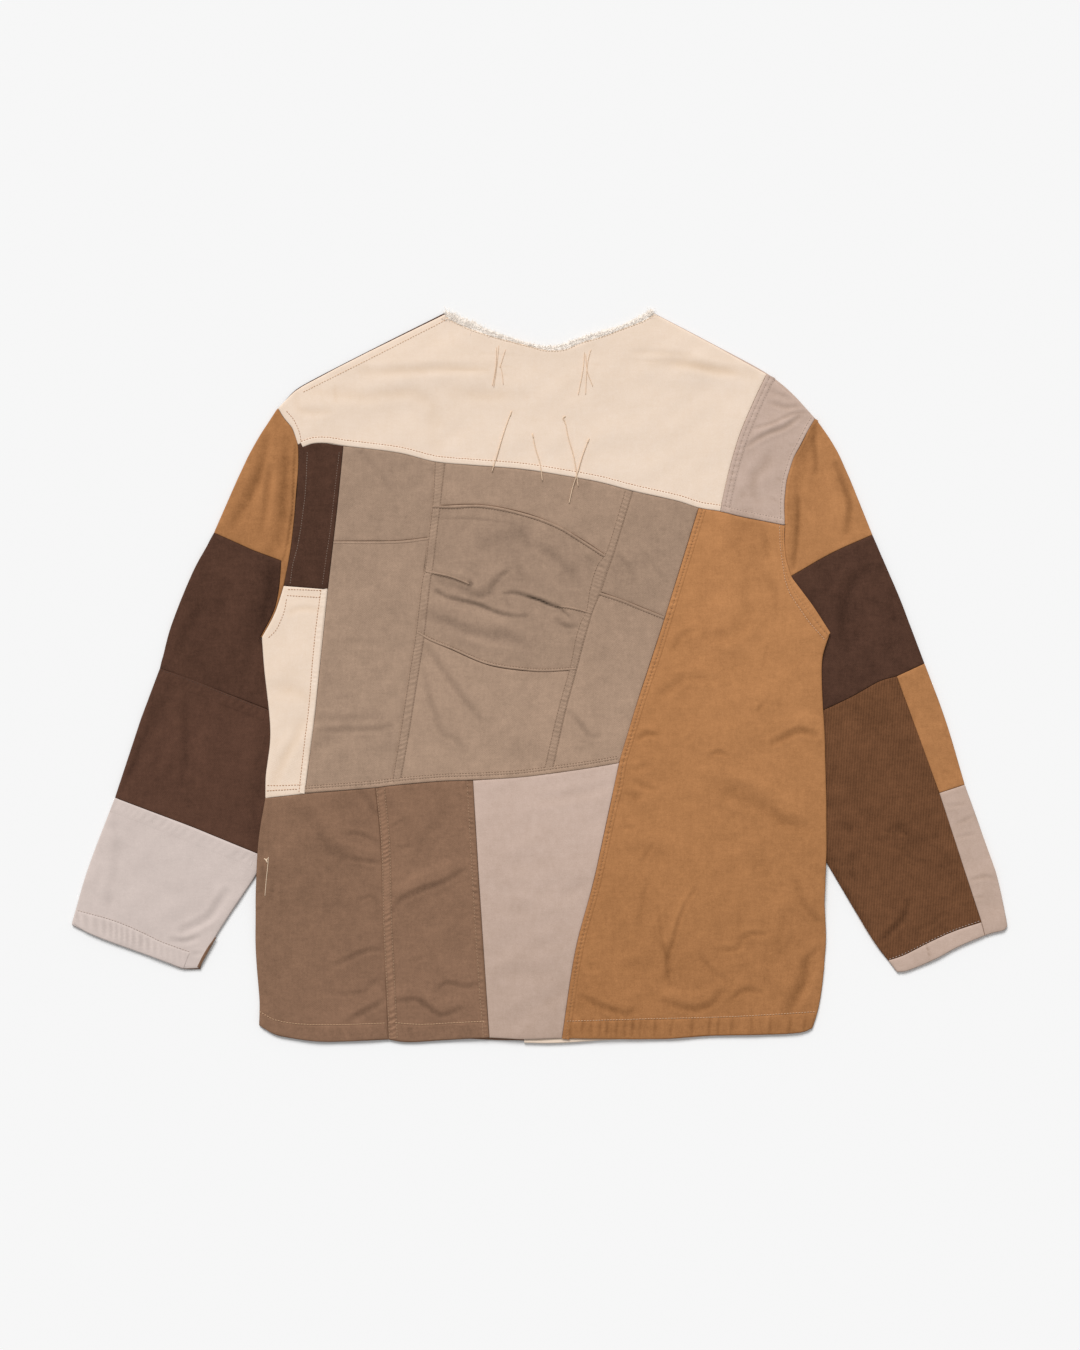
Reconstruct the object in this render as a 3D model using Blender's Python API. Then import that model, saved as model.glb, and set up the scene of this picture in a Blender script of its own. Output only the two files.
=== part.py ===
"""Patchwork jacket laid flat on a surface with its back upward.

Every cloth piece is a thin wall cut to its own outline. The seams are smooth curves through a few
points measured across the laid-out garment, and a piece is the loop of the seams around it.
Heights go layer by layer: the fronts and under-sleeves lie on the surface, the upper sleeves lie on
the under-sleeves, and the back lies on the fronts. Below the armholes the sleeves are tucked under
the body, so the fronts and the back rise over them there.
"""

import math
import random

import bmesh
import bpy
from mathutils import Vector
from mathutils.geometry import delaunay_2d_cdt

MM = 0.001

# Driving dimensions, in millimetres
CLOTH = 1.2             # wall of one layer of cloth
SEAM_GAP = 0.3          # between two pieces sewn edge to edge
PLY_GAP = 0.8           # between layers that lie on each other
EDGE_GAP = 0.3          # between the same layers where a seam or fold joins them
EDGE_REACH = 14.0       # how far in from such an edge the layers part
TUCK_CLEAR = 0.5        # air over the sleeve that is tucked under the body
TUCK_LEVEL = 15.0       # how far the body stays level past the tucked sleeve
TUCK_SLOPE = 78.0       # length of the slope that comes down from it
CLOSURE_CLEAR = 0.5     # air between the two overlapping fronts
CLOSURE_SLOPE = 70.0    # length of the slope beside that overlap
LATTICE = 27.0          # spacing of the points inside a piece
CURVE_ERROR = 0.3       # how far a sampled seam may leave its curve
LATTICE_MARGIN = 0.45   # lattice points keep this share of a spacing from the outline
MITRE_LIMIT = 0.3       # keeps a narrowed sharp corner from shooting out
RELIEF_FADE = 24.0      # folds die out this close to a seamed edge
FOLD_END = 0.6          # share of a fold's height that is left at its ends
SHARP_ANGLE = 40.0      # edges of cloth stay sharp, folds are shaded smooth, in degrees

SLEEVE_TOP = 2 * CLOTH + PLY_GAP
TUCK_LIFT = SLEEVE_TOP + TUCK_CLEAR
CLOSURE_LIFT = CLOTH + CLOSURE_CLEAR

# The fronts' free edges, right front over left front
LEFT_EDGE_X = 28.8
RIGHT_EDGE_X = -15.5

# Colours of the cloths, linear red, green and blue
CREAM = (0.82, 0.66, 0.52)
MAUVE = (0.52, 0.38, 0.31)
PALE_MAUVE = (0.63, 0.53, 0.49)
TAUPE = (0.37, 0.26, 0.19)
TAN = (0.41, 0.185, 0.073)
BROWN = (0.25, 0.14, 0.088)
DARK = (0.086, 0.041, 0.028)
CORDUROY = (0.15, 0.066, 0.031)
RAW_COTTON = (0.80, 0.76, 0.71)

# Points where seams meet, in millimetres right of and above the garment's middle
POINTS = {
    "neck_left": (-94.8, 372.9),
    "neck_right": (115.9, 373.9),
    "shoulder_left": (-268.8, 275.2),
    "shoulder_right": (284.4, 264.6),
    "yoke_top": (234.4, 310.1),
    "arm_left": (-248.2, 237.4),
    "arm_right": (252.9, 154.5),
    "strip_left": (-262.7, 92.2),
    "strip_right": (-217.3, 88.6),
    "underarm_left": (-284.8, 39.7),
    "underarm_right": (298.7, 42.7),
    "cap_right": (258.5, 101.5),
    "cream_left": (-281.2, -126.2),
    "cream_right": (-240.7, -121.7),
    "hem_left": (-287.9, -360.0),
    "hem_right": (281.2, -363.1),
    "hem_brown": (-154.9, -374.9),
    "hem_mauve": (-51.1, -372.7),
    "hem_tan": (23.7, -373.4),
    "yoke_dark": (-201.4, 236.1),
    "yoke_fell_left": (-106.8, 219.9),
    "yoke_fell_right": (96.1, 189.5),
    "yoke_tan": (164.3, 172.5),
    "yoke_corner": (186.4, 169.0),
    "column_left": (-211.6, 138.1),
    "column_fell": (-113.3, 142.2),
    "knee_top_left": (-109.5, 174.3),
    "knee_top_right": (74.6, 119.4),
    "knee_low_left": (-126.4, 43.9),
    "knee_low_right": (38.4, 5.7),
    "flank_left": (62.8, 86.0),
    "flank_right": (129.8, 60.0),
    "taupe_brown": (-168.2, -115.5),
    "taupe_fell_left": (-151.4, -113.3),
    "taupe_mauve": (-68.0, -108.0),
    "taupe_fell_right": (13.0, -100.6),
    "taupe_corner": (82.7, -89.6),
    "l_cap": (-334.4, 146.8),
    "l_mid": (-390.1, 7.3),
    "l_cuff": (-436.3, -125.9),
    "l_mouth_out": (-481.0, -256.5),
    "l_mouth_in": (-350.7, -301.3),
    "l_mouth_under": (-348.6, -302.3),
    "l_tuck_end": (-289.7, -202.4),
    "l_tuck_cuff": (-280.9, -186.9),
    "l_tuck_mid": (-237.9, -51.0),
    "l_margin_top": (-265.2, 117.9),
    "l_margin_end": (-287.1, 38.4),
    "r_cap": (343.0, 144.7),
    "r_mid": (396.6, 12.3),
    "r_cord": (368.1, -0.8),
    "r_strip_out": (438.0, -112.4),
    "r_strip_in": (412.0, -121.0),
    "r_mouth_out": (482.0, -257.8),
    "r_band_top": (455.3, -253.9),
    "r_band_low": (458.9, -267.7),
    "r_inner_top": (359.8, -293.3),
    "r_inner_low": (368.9, -305.2),
    "r_tuck_mid": (251.3, -54.6),
    "r_tuck_end": (294.9, -190.0),
    "front_neck_left": (-95.8, 375.4),
    "front_neck_right": (116.7, 375.2),
    "closure_top_left": (LEFT_EDGE_X, 283.0),
    "closure_top_right": (RIGHT_EDGE_X, 283.0),
    "closure_yoke_left": (LEFT_EDGE_X, 232.0),
    "closure_yoke_right": (RIGHT_EDGE_X, 160.0),
    "closure_hem_left": (LEFT_EDGE_X, -376.5),
    "closure_hem_right": (RIGHT_EDGE_X, -378.0),
}

# Each seam runs between two of those points, through the ones listed between them
SEAMS = {
    "neck": ["neck_left", (-88.6, 367.2), (-71.1, 357.4), (-41.7, 347.6), (-13.8, 340.4), (9.3, 334.8),
             (27.3, 336.3), (52.5, 345.6), (88.1, 358.2), (107.7, 366.2), "neck_right"],
    "shoulder_left": ["neck_left", (-164.8, 338.6), (-224.5, 307.9), (-251.3, 292.5), "shoulder_left"],
    "shoulder_right": ["neck_right", (182.3, 338.8), "yoke_top"],
    "shoulder_end": ["yoke_top", (254.4, 292.7), (272.9, 277.1), "shoulder_right"],
    "armhole_left_yoke": ["shoulder_left", (-262.7, 265.2), (-254.4, 254.9), "arm_left"],
    "armhole_left_dark": ["arm_left", (-247.5, 220.9), (-250.3, 178.7), (-255.4, 131.3), "strip_left"],
    "armhole_left_cream": ["strip_left", (-270.4, 67.5), (-275.0, 57.2), "underarm_left"],
    "armhole_right_low": ["underarm_right", (285.3, 63.3), (274.0, 79.8), "cap_right"],
    "armhole_right_tan": ["cap_right", (253.4, 126.2), "arm_right"],
    "armhole_right_end": ["arm_right", (252.9, 178.7), (255.4, 201.4), (263.7, 227.1), "shoulder_right"],
    "side_cream": ["underarm_left", (-282.2, 5.7), (-276.0, -61.3), (-280.7, -103.5), "cream_left"],
    "side_brown": ["cream_left", (-288.4, -171.5), (-291.5, -276.6), (-287.4, -337.3), "hem_left"],
    "side_tan": ["hem_right", (286.3, -346.6), (290.5, -325.0), (295.1, -272.4), (293.6, -234.3),
                 (295.6, -171.5), (293.6, -61.3), (291.0, -14.9), (291.5, 19.1), "underarm_right"],
    "hem_brown_left": ["hem_left", (-272.9, -369.3), (-255.4, -373.4), (-223.5, -377.1), "hem_brown"],
    "hem_brown_right": ["hem_brown", (-138.0, -377.5), (-97.9, -375.4), "hem_mauve"],
    "hem_mauve": ["hem_mauve", (-17.5, -374.4), "hem_tan"],
    "hem_tan": ["hem_tan", (126.7, -374.4), (168.9, -371.3), (271.9, -367.2), "hem_right"],
    "yoke_over_dark": ["arm_left", (-240.0, 240.5), (-229.2, 241.2), (-215.3, 238.2), "yoke_dark"],
    "yoke_over_column": ["yoke_dark", (-182.3, 234.8), (-143.2, 228.9), "yoke_fell_left"],
    "yoke_over_top": ["yoke_fell_left", (-70.0, 216.4), (-17.5, 212.2), (61.4, 199.0), "yoke_fell_right"],
    "yoke_over_flank": ["yoke_fell_right", (145.2, 178.9), "yoke_tan"],
    "yoke_over_tan": ["yoke_tan", "yoke_corner"],
    "yoke_end_edge": ["yoke_corner", (203.9, 164.3), "arm_right"],
    "yoke_end_seam": ["yoke_top", (221.1, 282.1), (206.0, 245.7), (194.7, 206.5), "yoke_corner"],
    "dark_inner_upper": ["yoke_dark", (-207.0, 178.7), "column_left"],
    "dark_inner_lower": ["column_left", "strip_right"],
    "strip_cross": ["strip_left", "strip_right"],
    "cream_inner": ["strip_right", (-221.5, 45.8), (-231.2, -48.9), "cream_right"],
    "cream_bottom": ["cream_left", "cream_right"],
    "column_seam": ["column_left", (-143.2, 138.7), "column_fell"],
    "fell_left_top": ["yoke_fell_left", "knee_top_left"],
    "fell_left_knee": ["knee_top_left", "column_fell"],
    "fell_left_low_knee": ["column_fell", (-121.0, 88.1), "knee_low_left"],
    "fell_left_low": ["knee_low_left", (-132.9, 2.6), "taupe_fell_left"],
    "fell_right_top": ["yoke_fell_right", "knee_top_right"],
    "fell_right_knee": ["knee_top_right", "flank_left"],
    "fell_right_low_knee": ["flank_left", (54.1, 64.7), "knee_low_right"],
    "fell_right_low": ["knee_low_right", (26.6, -37.4), "taupe_fell_right"],
    "knee_top": ["knee_top_left", (-65.4, 175.8), (-31.7, 171.1), (1.0, 161.7), (43.1, 140.4),
                 "knee_top_right"],
    "knee_low": ["knee_low_left", (-53.9, 11.5), (-19.6, 5.4), "knee_low_right"],
    "flank_seam": ["flank_left", (106.1, 69.9), "flank_right"],
    "tan_edge_upper": ["yoke_tan", "flank_right"],
    "tan_edge_middle": ["flank_right", (103.4, -20.9), "taupe_corner"],
    "tan_edge_lower": ["taupe_corner", (56.3, -211.7), (38.1, -280.7), "hem_tan"],
    "taupe_hem_left": ["cream_right", "taupe_brown"],
    "taupe_hem_step": ["taupe_brown", "taupe_fell_left"],
    "taupe_hem_brown": ["taupe_fell_left", (-97.9, -108.7), "taupe_mauve"],
    "taupe_hem_mauve": ["taupe_mauve", "taupe_fell_right"],
    "taupe_hem_right": ["taupe_fell_right", "taupe_corner"],
    "brown_seam": ["taupe_brown", (-162.9, -171.5), (-156.6, -339.4), "hem_brown"],
    "mauve_seam": ["taupe_mauve", (-63.0, -192.1), "hem_mauve"],
    "l_outer_cap": ["shoulder_left", (-295.6, 232.3), "l_cap"],
    "l_outer_upper": ["l_cap", (-355.4, 108.7), (-380.1, 46.9), "l_mid"],
    "l_outer_lower": ["l_mid", (-409.9, -45.8), "l_cuff"],
    "l_outer_cuff": ["l_cuff", (-464.5, -200.3), "l_mouth_out"],
    "l_cap_seam": ["l_cap", (-290.5, 127.2), "l_margin_top"],
    "l_margin": ["l_margin_top", (-267.3, 92.2), (-272.0, 68.5), (-278.0, 55.5), "l_margin_end"],
    "l_margin_end": ["l_margin_end", "underarm_left"],
    "l_mid_seam": ["l_mid", (-314.7, -21.1), "l_tuck_mid"],
    "l_cuff_seam": ["l_cuff", (-356.4, -156.0), "l_tuck_cuff"],
    "l_mouth": ["l_mouth_out", (-467.1, -263.2), (-388.3, -293.0), (-367.7, -301.3), "l_mouth_in"],
    "l_mouth_under": ["l_mouth_out", (-467.1, -263.2), (-388.3, -293.0), (-366.7, -302.0), "l_mouth_under"],
    "l_inner": ["l_mouth_in", (-331.7, -266.3), "l_tuck_end", "l_tuck_cuff"],
    "l_inner_under": ["l_mouth_under", (-329.9, -265.8), (-289.2, -202.2), "l_tuck_cuff"],
    "l_tuck_lower": ["l_tuck_cuff", (-256.5, -146.8), (-240.0, -112.8), "l_tuck_mid"],
    "l_tuck_upper": ["l_tuck_mid", (-245.1, -14.9), (-263.7, 18.0), "l_margin_end"],
    "r_outer_cap": ["shoulder_right", (305.9, 232.3), (332.7, 170.5), "r_cap"],
    "r_outer_dark": ["r_cap", (371.8, 77.8), "r_mid"],
    "r_outer_tan": ["r_mid", (418.2, -45.8), "r_strip_out"],
    "r_outer_mauve": ["r_strip_out", (458.4, -169.4), (472.0, -208.6), "r_mouth_out"],
    "r_cap_seam": ["cap_right", (301.8, 126.2), "r_cap"],
    "r_mid_seam": ["r_tuck_mid", (293.6, -35.1), (323.4, -21.1), (351.2, -5.7), "r_cord"],
    "r_mid_end": ["r_cord", "r_mid"],
    "r_cord_edge_upper": ["r_cord", "r_strip_in"],
    "r_cord_edge_lower": ["r_strip_in", "r_band_top"],
    "r_strip_seam": ["r_strip_in", "r_strip_out"],
    "r_band_seam": ["r_inner_top", (374.9, -288.1), (401.1, -274.9), (427.3, -263.2), "r_band_top"],
    "r_band_end": ["r_band_top", "r_band_low"],
    "r_band_inner": ["r_inner_top", "r_inner_low"],
    "r_mouth": ["r_inner_low", (377.5, -304.4), (407.7, -292.0), (433.9, -278.2), "r_band_low"],
    "r_mouth_outer": ["r_band_low", (466.6, -265.2), (479.3, -261.8), "r_mouth_out"],
    "r_inner": ["r_tuck_end", (316.2, -226.1), (344.5, -273.5), "r_inner_top"],
    "r_tuck_upper": ["underarm_right", (276.0, 20.1), (258.5, -17.0), "r_tuck_mid"],
    "r_tuck_lower": ["r_tuck_mid", (248.2, -81.9), (254.4, -112.8), (271.9, -150.9), "r_tuck_end"],
    "front_shoulder_left": ["front_neck_left", (-165.8, 340.4), (-225.6, 309.5), (-252.8, 293.8),
                            "shoulder_left"],
    "front_shoulder_right": ["front_neck_right", (183.3, 340.4), (239.0, 309.5), (261.6, 290.6),
                             "shoulder_right"],
    "front_neck_left": ["front_neck_left", (-72.0, 330.0), (-35.0, 297.0), "closure_top_left"],
    "front_neck_right": ["front_neck_right", (95.0, 330.0), (55.0, 297.0), "closure_top_right"],
    "front_yoke_left": ["arm_left", "closure_yoke_left"],
    "front_yoke_right": ["arm_right", "closure_yoke_right"],
    "closure_left_upper": ["closure_top_left", "closure_yoke_left"],
    "closure_left_lower": ["closure_yoke_left", "closure_hem_left"],
    "closure_right_upper": ["closure_top_right", "closure_yoke_right"],
    "closure_right_lower": ["closure_yoke_right", "closure_hem_right"],
    "front_hem_left": ["hem_left", (-272.9, -368.0), (-223.5, -374.5), (-97.9, -373.4), (-40.0, -375.5),
                       "closure_hem_left"],
    "front_hem_right": ["closure_hem_right", (11.3, -378.5), (73.0, -375.2), (168.9, -369.5), "hem_right"],
}

# The pieces: layer, colour and the seams around each, counter-clockwise; a minus runs a seam backwards
PIECES = {
    "sleeve_l_under": ("floor", BROWN, [
        "l_outer_cap", "l_outer_upper", "l_outer_lower", "l_outer_cuff", "l_mouth_under", "l_inner_under",
        "l_tuck_lower", "l_tuck_upper", "l_margin_end", "-armhole_left_cream", "-armhole_left_dark",
        "-armhole_left_yoke"]),
    "sleeve_r_under": ("floor", TAN, [
        "-armhole_right_end", "-armhole_right_tan", "-armhole_right_low", "r_tuck_upper", "r_tuck_lower",
        "r_inner", "r_band_inner", "r_mouth", "r_mouth_outer", "-r_outer_mauve", "-r_outer_tan",
        "-r_outer_dark", "-r_outer_cap"]),
    "front_left_yoke": ("front_left", DARK, [
        "front_shoulder_left", "armhole_left_yoke", "front_yoke_left", "-closure_left_upper",
        "-front_neck_left"]),
    "front_left": ("front_left", BROWN, [
        "armhole_left_dark", "armhole_left_cream", "side_cream", "side_brown", "front_hem_left",
        "-closure_left_lower", "-front_yoke_left"]),
    "front_right_yoke": ("front_right", MAUVE, [
        "front_neck_right", "closure_right_upper", "-front_yoke_right", "armhole_right_end",
        "-front_shoulder_right"]),
    "front_right": ("front_right", CREAM, [
        "closure_right_lower", "front_hem_right", "side_tan", "armhole_right_low", "armhole_right_tan",
        "front_yoke_right"]),
    "sleeve_l_cap": ("sleeve", TAN, [
        "l_outer_cap", "l_cap_seam", "l_margin", "l_margin_end", "-armhole_left_cream",
        "-armhole_left_dark", "-armhole_left_yoke"]),
    "sleeve_l_upper": ("sleeve", DARK, [
        "l_outer_upper", "l_mid_seam", "l_tuck_upper", "-l_margin", "-l_cap_seam"]),
    "sleeve_l_lower": ("sleeve", DARK, ["l_outer_lower", "l_cuff_seam", "l_tuck_lower", "-l_mid_seam"]),
    "sleeve_l_cuff": ("sleeve", PALE_MAUVE, ["l_outer_cuff", "l_mouth", "l_inner", "-l_cuff_seam"]),
    "sleeve_r_cap": ("sleeve", TAN, [
        "-armhole_right_end", "-armhole_right_tan", "r_cap_seam", "-r_outer_cap"]),
    "sleeve_r_dark": ("sleeve", DARK, [
        "-armhole_right_low", "r_tuck_upper", "r_mid_seam", "r_mid_end", "-r_outer_dark", "-r_cap_seam"]),
    "sleeve_r_cord": ("sleeve", CORDUROY, [
        "r_tuck_lower", "r_inner", "r_band_seam", "-r_cord_edge_lower", "-r_cord_edge_upper",
        "-r_mid_seam"]),
    "sleeve_r_strip_tan": ("sleeve", TAN, [
        "r_cord_edge_upper", "r_strip_seam", "-r_outer_tan", "-r_mid_end"]),
    "sleeve_r_strip_mauve": ("sleeve", MAUVE, [
        "r_cord_edge_lower", "r_band_end", "r_mouth_outer", "-r_outer_mauve", "-r_strip_seam"]),
    "sleeve_r_band": ("sleeve", MAUVE, ["r_band_inner", "r_mouth", "-r_band_end", "-r_band_seam"]),
    "back_yoke": ("back", CREAM, [
        "shoulder_left", "armhole_left_yoke", "yoke_over_dark", "yoke_over_column", "yoke_over_top",
        "yoke_over_flank", "yoke_over_tan", "-yoke_end_seam", "-shoulder_right", "-neck"]),
    "back_yoke_end": ("back", MAUVE, [
        "yoke_end_seam", "yoke_end_edge", "armhole_right_end", "-shoulder_end"]),
    "back_strip_dark": ("back", DARK, [
        "armhole_left_dark", "strip_cross", "-dark_inner_lower", "-dark_inner_upper", "-yoke_over_dark"]),
    "back_strip_cream": ("back", CREAM, [
        "armhole_left_cream", "side_cream", "cream_bottom", "-cream_inner", "-strip_cross"]),
    "taupe_left_upper": ("back", TAUPE, [
        "dark_inner_upper", "column_seam", "-fell_left_knee", "-fell_left_top", "-yoke_over_column"]),
    "taupe_left_lower": ("back", TAUPE, [
        "dark_inner_lower", "cream_inner", "taupe_hem_left", "taupe_hem_step", "-fell_left_low",
        "-fell_left_low_knee", "-column_seam"]),
    "taupe_top": ("back", TAUPE, ["fell_left_top", "knee_top", "-fell_right_top", "-yoke_over_top"]),
    "taupe_knee": ("back", TAUPE, [
        "fell_left_knee", "fell_left_low_knee", "knee_low", "-fell_right_low_knee", "-fell_right_knee",
        "-knee_top"]),
    "taupe_low": ("back", TAUPE, [
        "fell_left_low", "taupe_hem_brown", "taupe_hem_mauve", "-fell_right_low", "-knee_low"]),
    "taupe_right_upper": ("back", TAUPE, [
        "fell_right_top", "fell_right_knee", "flank_seam", "-tan_edge_upper", "-yoke_over_flank"]),
    "taupe_right_lower": ("back", TAUPE, [
        "fell_right_low_knee", "fell_right_low", "taupe_hem_right", "-tan_edge_middle", "-flank_seam"]),
    "brown_left": ("back", BROWN, [
        "side_brown", "hem_brown_left", "-brown_seam", "-taupe_hem_left", "-cream_bottom"]),
    "brown_right": ("back", BROWN, [
        "brown_seam", "hem_brown_right", "-mauve_seam", "-taupe_hem_brown", "-taupe_hem_step"]),
    "mauve_low": ("back", MAUVE, [
        "mauve_seam", "hem_mauve", "-tan_edge_lower", "-taupe_hem_right", "-taupe_hem_mauve"]),
    "tan_right": ("back", TAN, [
        "tan_edge_upper", "tan_edge_middle", "tan_edge_lower", "hem_tan", "side_tan", "armhole_right_low",
        "armhole_right_tan", "-yoke_end_edge", "-yoke_over_tan"]),
}

# The largest folds, each a soft ridge: from, to, height and half-width
BACK_FOLDS = [
    ((-50, 134), (22, 104), 3.6, 40),     # knee bulge between the two darts
    ((-92, 64), (12, 36), 2.6, 15),       # fold under the knee darts
    ((-100, -15), (-72, -76), 1.8, 18),   # long drape below the knee
    ((130, 334), (225, 322), 2.6, 13),    # right shoulder
    ((-146, 326), (-62, 322), 1.8, 13),   # left of the neck, upper
    ((-152, 300), (-62, 299), 1.8, 13),   # left of the neck, lower
    ((-242, 262), (-212, 278), 1.8, 13),  # left shoulder
    ((215, 250), (262, 277), 1.8, 13),    # yoke end
    ((233, 150), (243, 78), 2.6, 15),     # right armhole
    ((203, 118), (212, 36), 1.8, 20),     # beside it
    ((207, -38), (272, -26), 2.2, 15),    # right side, at the waist
    ((114, -221), (155, -272), 2.2, 18),  # left arm of the fork above the right hem
    ((166, -200), (146, -322), 2.2, 18),  # right arm and stem of that fork
    ((-148, -243), (-71, -195), 2.2, 15),  # lower left, slanting
    ((-246, -180), (-184, -164), 1.4, 20),  # lower left, near the side
]
SLEEVE_FOLDS = [
    ((-313, 191), (-323, 150), 1.8, 13),  # left cap
    ((-298, 108), (-300, 0), 2.4, 13),    # left upper sleeve, beside the body
    ((-411, -67), (-349, -118), 1.6, 16),  # left lower sleeve
    ((-441, -211), (-400, -262), 1.6, 16),  # left cuff, outer side
    ((-349, -262), (-318, -226), 1.6, 13),  # left cuff, inner side
    ((325, 119), (351, 36), 2.2, 14),     # right upper sleeve
    ((356, -273), (400, -257), 1.8, 13),  # corduroy above the band
]

# Raw neck edge: a narrow strip of loosened weave with threads standing out of it
FRAY_PITCH = 2.8        # along the neck, from thread to thread
FRAY_THREAD = 1.4       # thread width at its root
FRAY_STRIP = 1.6        # width of the strip
FRAY_THICK = 0.9
FRAY_TIP = 0.4          # a tip's share of its root's size
FRAY_LENGTH = (2.2, 3.6)
TUFT_LENGTH = (3.6, 4.6)  # at the two neck points, where the seam ends fray too
TUFT_THREADS = 4
FRAY_LEAN = 0.5         # sideways lean, as a share of a thread's length
FRAY_SEED = 7


def smooth_step(value):
    """Rise from 0 to 1 with level ends."""
    value = min(max(value, 0.0), 1.0)
    return value * value * (3.0 - 2.0 * value)


def spline_through(points, steps=10):
    """Points along a smooth curve through the given ones, spaced for uneven gaps between them."""
    if len(points) == 2:
        return list(points)
    chain = [points[0] * 2 - points[1], *points, points[-1] * 2 - points[-2]]
    curve = [points[0]]
    for before, start, end, after in zip(chain, chain[1:], chain[2:], chain[3:]):
        lead = math.sqrt((start - before).length)
        span = math.sqrt((end - start).length)
        trail = math.sqrt((after - end).length)
        leave = (start - before) * (span / lead) - (end - before) * (span / (lead + span)) + (end - start)
        arrive = (end - start) - (after - start) * (span / (span + trail)) + (after - end) * (span / trail)
        for step in range(1, steps + 1):
            t = step / steps
            curve.append(
                start * (2 * t**3 - 3 * t**2 + 1) + leave * (t**3 - 2 * t**2 + t)
                + end * (3 * t**2 - 2 * t**3) + arrive * (t**3 - t**2))
    return curve


def distance_to_span(point, start, end):
    """Distance from a point to a straight span, and how far along the span it falls."""
    run = end - start
    share = min(max((point - start).dot(run) / max(run.length_squared, 1e-9), 0.0), 1.0)
    return (point - start - run * share).length, share


def distance_to_chain(point, chain):
    """Distance from a point to a chain of points."""
    return min(distance_to_span(point, a, b)[0] for a, b in zip(chain, chain[1:]))


def keep_needed(curve, error):
    """Leave out the points that a straight run passes within the given error."""
    if len(curve) < 3:
        return curve
    offsets = [distance_to_span(point, curve[0], curve[-1])[0] for point in curve[1:-1]]
    worst = max(range(len(offsets)), key=offsets.__getitem__)
    if offsets[worst] <= error:
        return [curve[0], curve[-1]]
    middle = worst + 1
    return keep_needed(curve[:middle + 1], error)[:-1] + keep_needed(curve[middle:], error)


def split_long(chain, longest):
    """Divide runs longer than the lattice spacing into equal parts."""
    result = [chain[0]]
    for start, end in zip(chain, chain[1:]):
        parts = max(1, math.ceil((end - start).length / longest))
        result += [start.lerp(end, (i + 1) / parts) for i in range(parts)]
    return result


def sampled_seams():
    """Every seam as a chain of points close enough to draw its curve."""
    chains = {}
    for name, stops in SEAMS.items():
        points = [Vector(POINTS[stop] if isinstance(stop, str) else stop) for stop in stops]
        chains[name] = split_long(keep_needed(spline_through(points), CURVE_ERROR), LATTICE)
    return chains


CHAINS = sampled_seams()


def joined(names):
    """One chain from several seams laid end to end."""
    points = []
    for name in names:
        chain = CHAINS[name.lstrip("-")]
        points += (chain[::-1] if name.startswith("-") else chain)[:-1]
    return points


def inside(point, outline):
    """Whether a point lies within a closed outline."""
    within = False
    for a, b in zip(outline, outline[1:] + outline[:1]):
        if (a.y > point.y) != (b.y > point.y):
            if point.x < a.x + (b.x - a.x) * (point.y - a.y) / (b.y - a.y):
                within = not within
    return within


def narrowed(outline, margin):
    """The outline moved inwards by a margin, corners kept."""
    result = []
    for before, here, after in zip(outline[-1:] + outline[:-1], outline, outline[1:] + outline[:1]):
        a = (here - before).normalized()
        b = (after - here).normalized()
        normal_a = Vector((-a.y, a.x))
        normal_b = Vector((-b.y, b.x))
        middle = (normal_a + normal_b).normalized()
        reach = margin / max(middle.dot(normal_a), MITRE_LIMIT)
        result.append(here + middle * reach)
    return result


# Regions and edges that the layers' heights depend on
BEYOND = 400.0          # well outside the body, in millimetres
TUCK_OUTLINES = [
    [*CHAINS["l_tuck_lower"], *CHAINS["l_tuck_upper"][1:],
     Vector((-BEYOND, POINTS["l_margin_end"][1])), Vector((-BEYOND, POINTS["l_tuck_end"][1])),
     Vector(POINTS["l_tuck_end"])],
    [*CHAINS["r_tuck_upper"], *CHAINS["r_tuck_lower"][1:],
     Vector((BEYOND, POINTS["r_tuck_end"][1])), Vector((BEYOND, POINTS["underarm_right"][1]))],
]
BODY_JOINED = [CHAINS[name] for name in (
    "shoulder_left", "shoulder_right", "shoulder_end", "side_cream", "side_brown", "side_tan")]
ARMHOLES = [CHAINS[name] for name in CHAINS if name.startswith("armhole")]
SIDES = [CHAINS[name] for name in ("side_cream", "side_brown", "side_tan")]
SLEEVE_FOLDED = [CHAINS[name] for name in CHAINS if name.startswith((
    "l_outer", "l_inner", "l_tuck", "r_outer", "r_inner", "r_tuck", "r_band_inner"))]


def nearest(point, chains):
    """Distance from a point to the nearest of several chains."""
    return min(distance_to_chain(point, chain) for chain in chains)


def layer_gap(point, joined_edges):
    """Air between two layers, less where a seam or a fold joins them."""
    spread = smooth_step(nearest(point, joined_edges) / EDGE_REACH)
    return EDGE_GAP + (PLY_GAP - EDGE_GAP) * spread


def tuck_lift(point):
    """How far the body rises over the tucked sleeves."""
    share = 0.0
    for outline in TUCK_OUTLINES:
        away = 0.0 if inside(point, outline) else distance_to_chain(point, outline + outline[:1])
        share = max(share, 1.0 - smooth_step((away - TUCK_LEVEL) / TUCK_SLOPE))
    return TUCK_LIFT * share


def closure_lift(x, left_slope):
    """How far a layer rises over the overlap of the fronts, with a slope on its right or both sides."""
    past_right = x - LEFT_EDGE_X - TUCK_LEVEL
    past_left = RIGHT_EDGE_X - TUCK_LEVEL - x if left_slope else 0.0
    return CLOSURE_LIFT * (1.0 - smooth_step(max(past_right, past_left) / CLOSURE_SLOPE))


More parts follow.
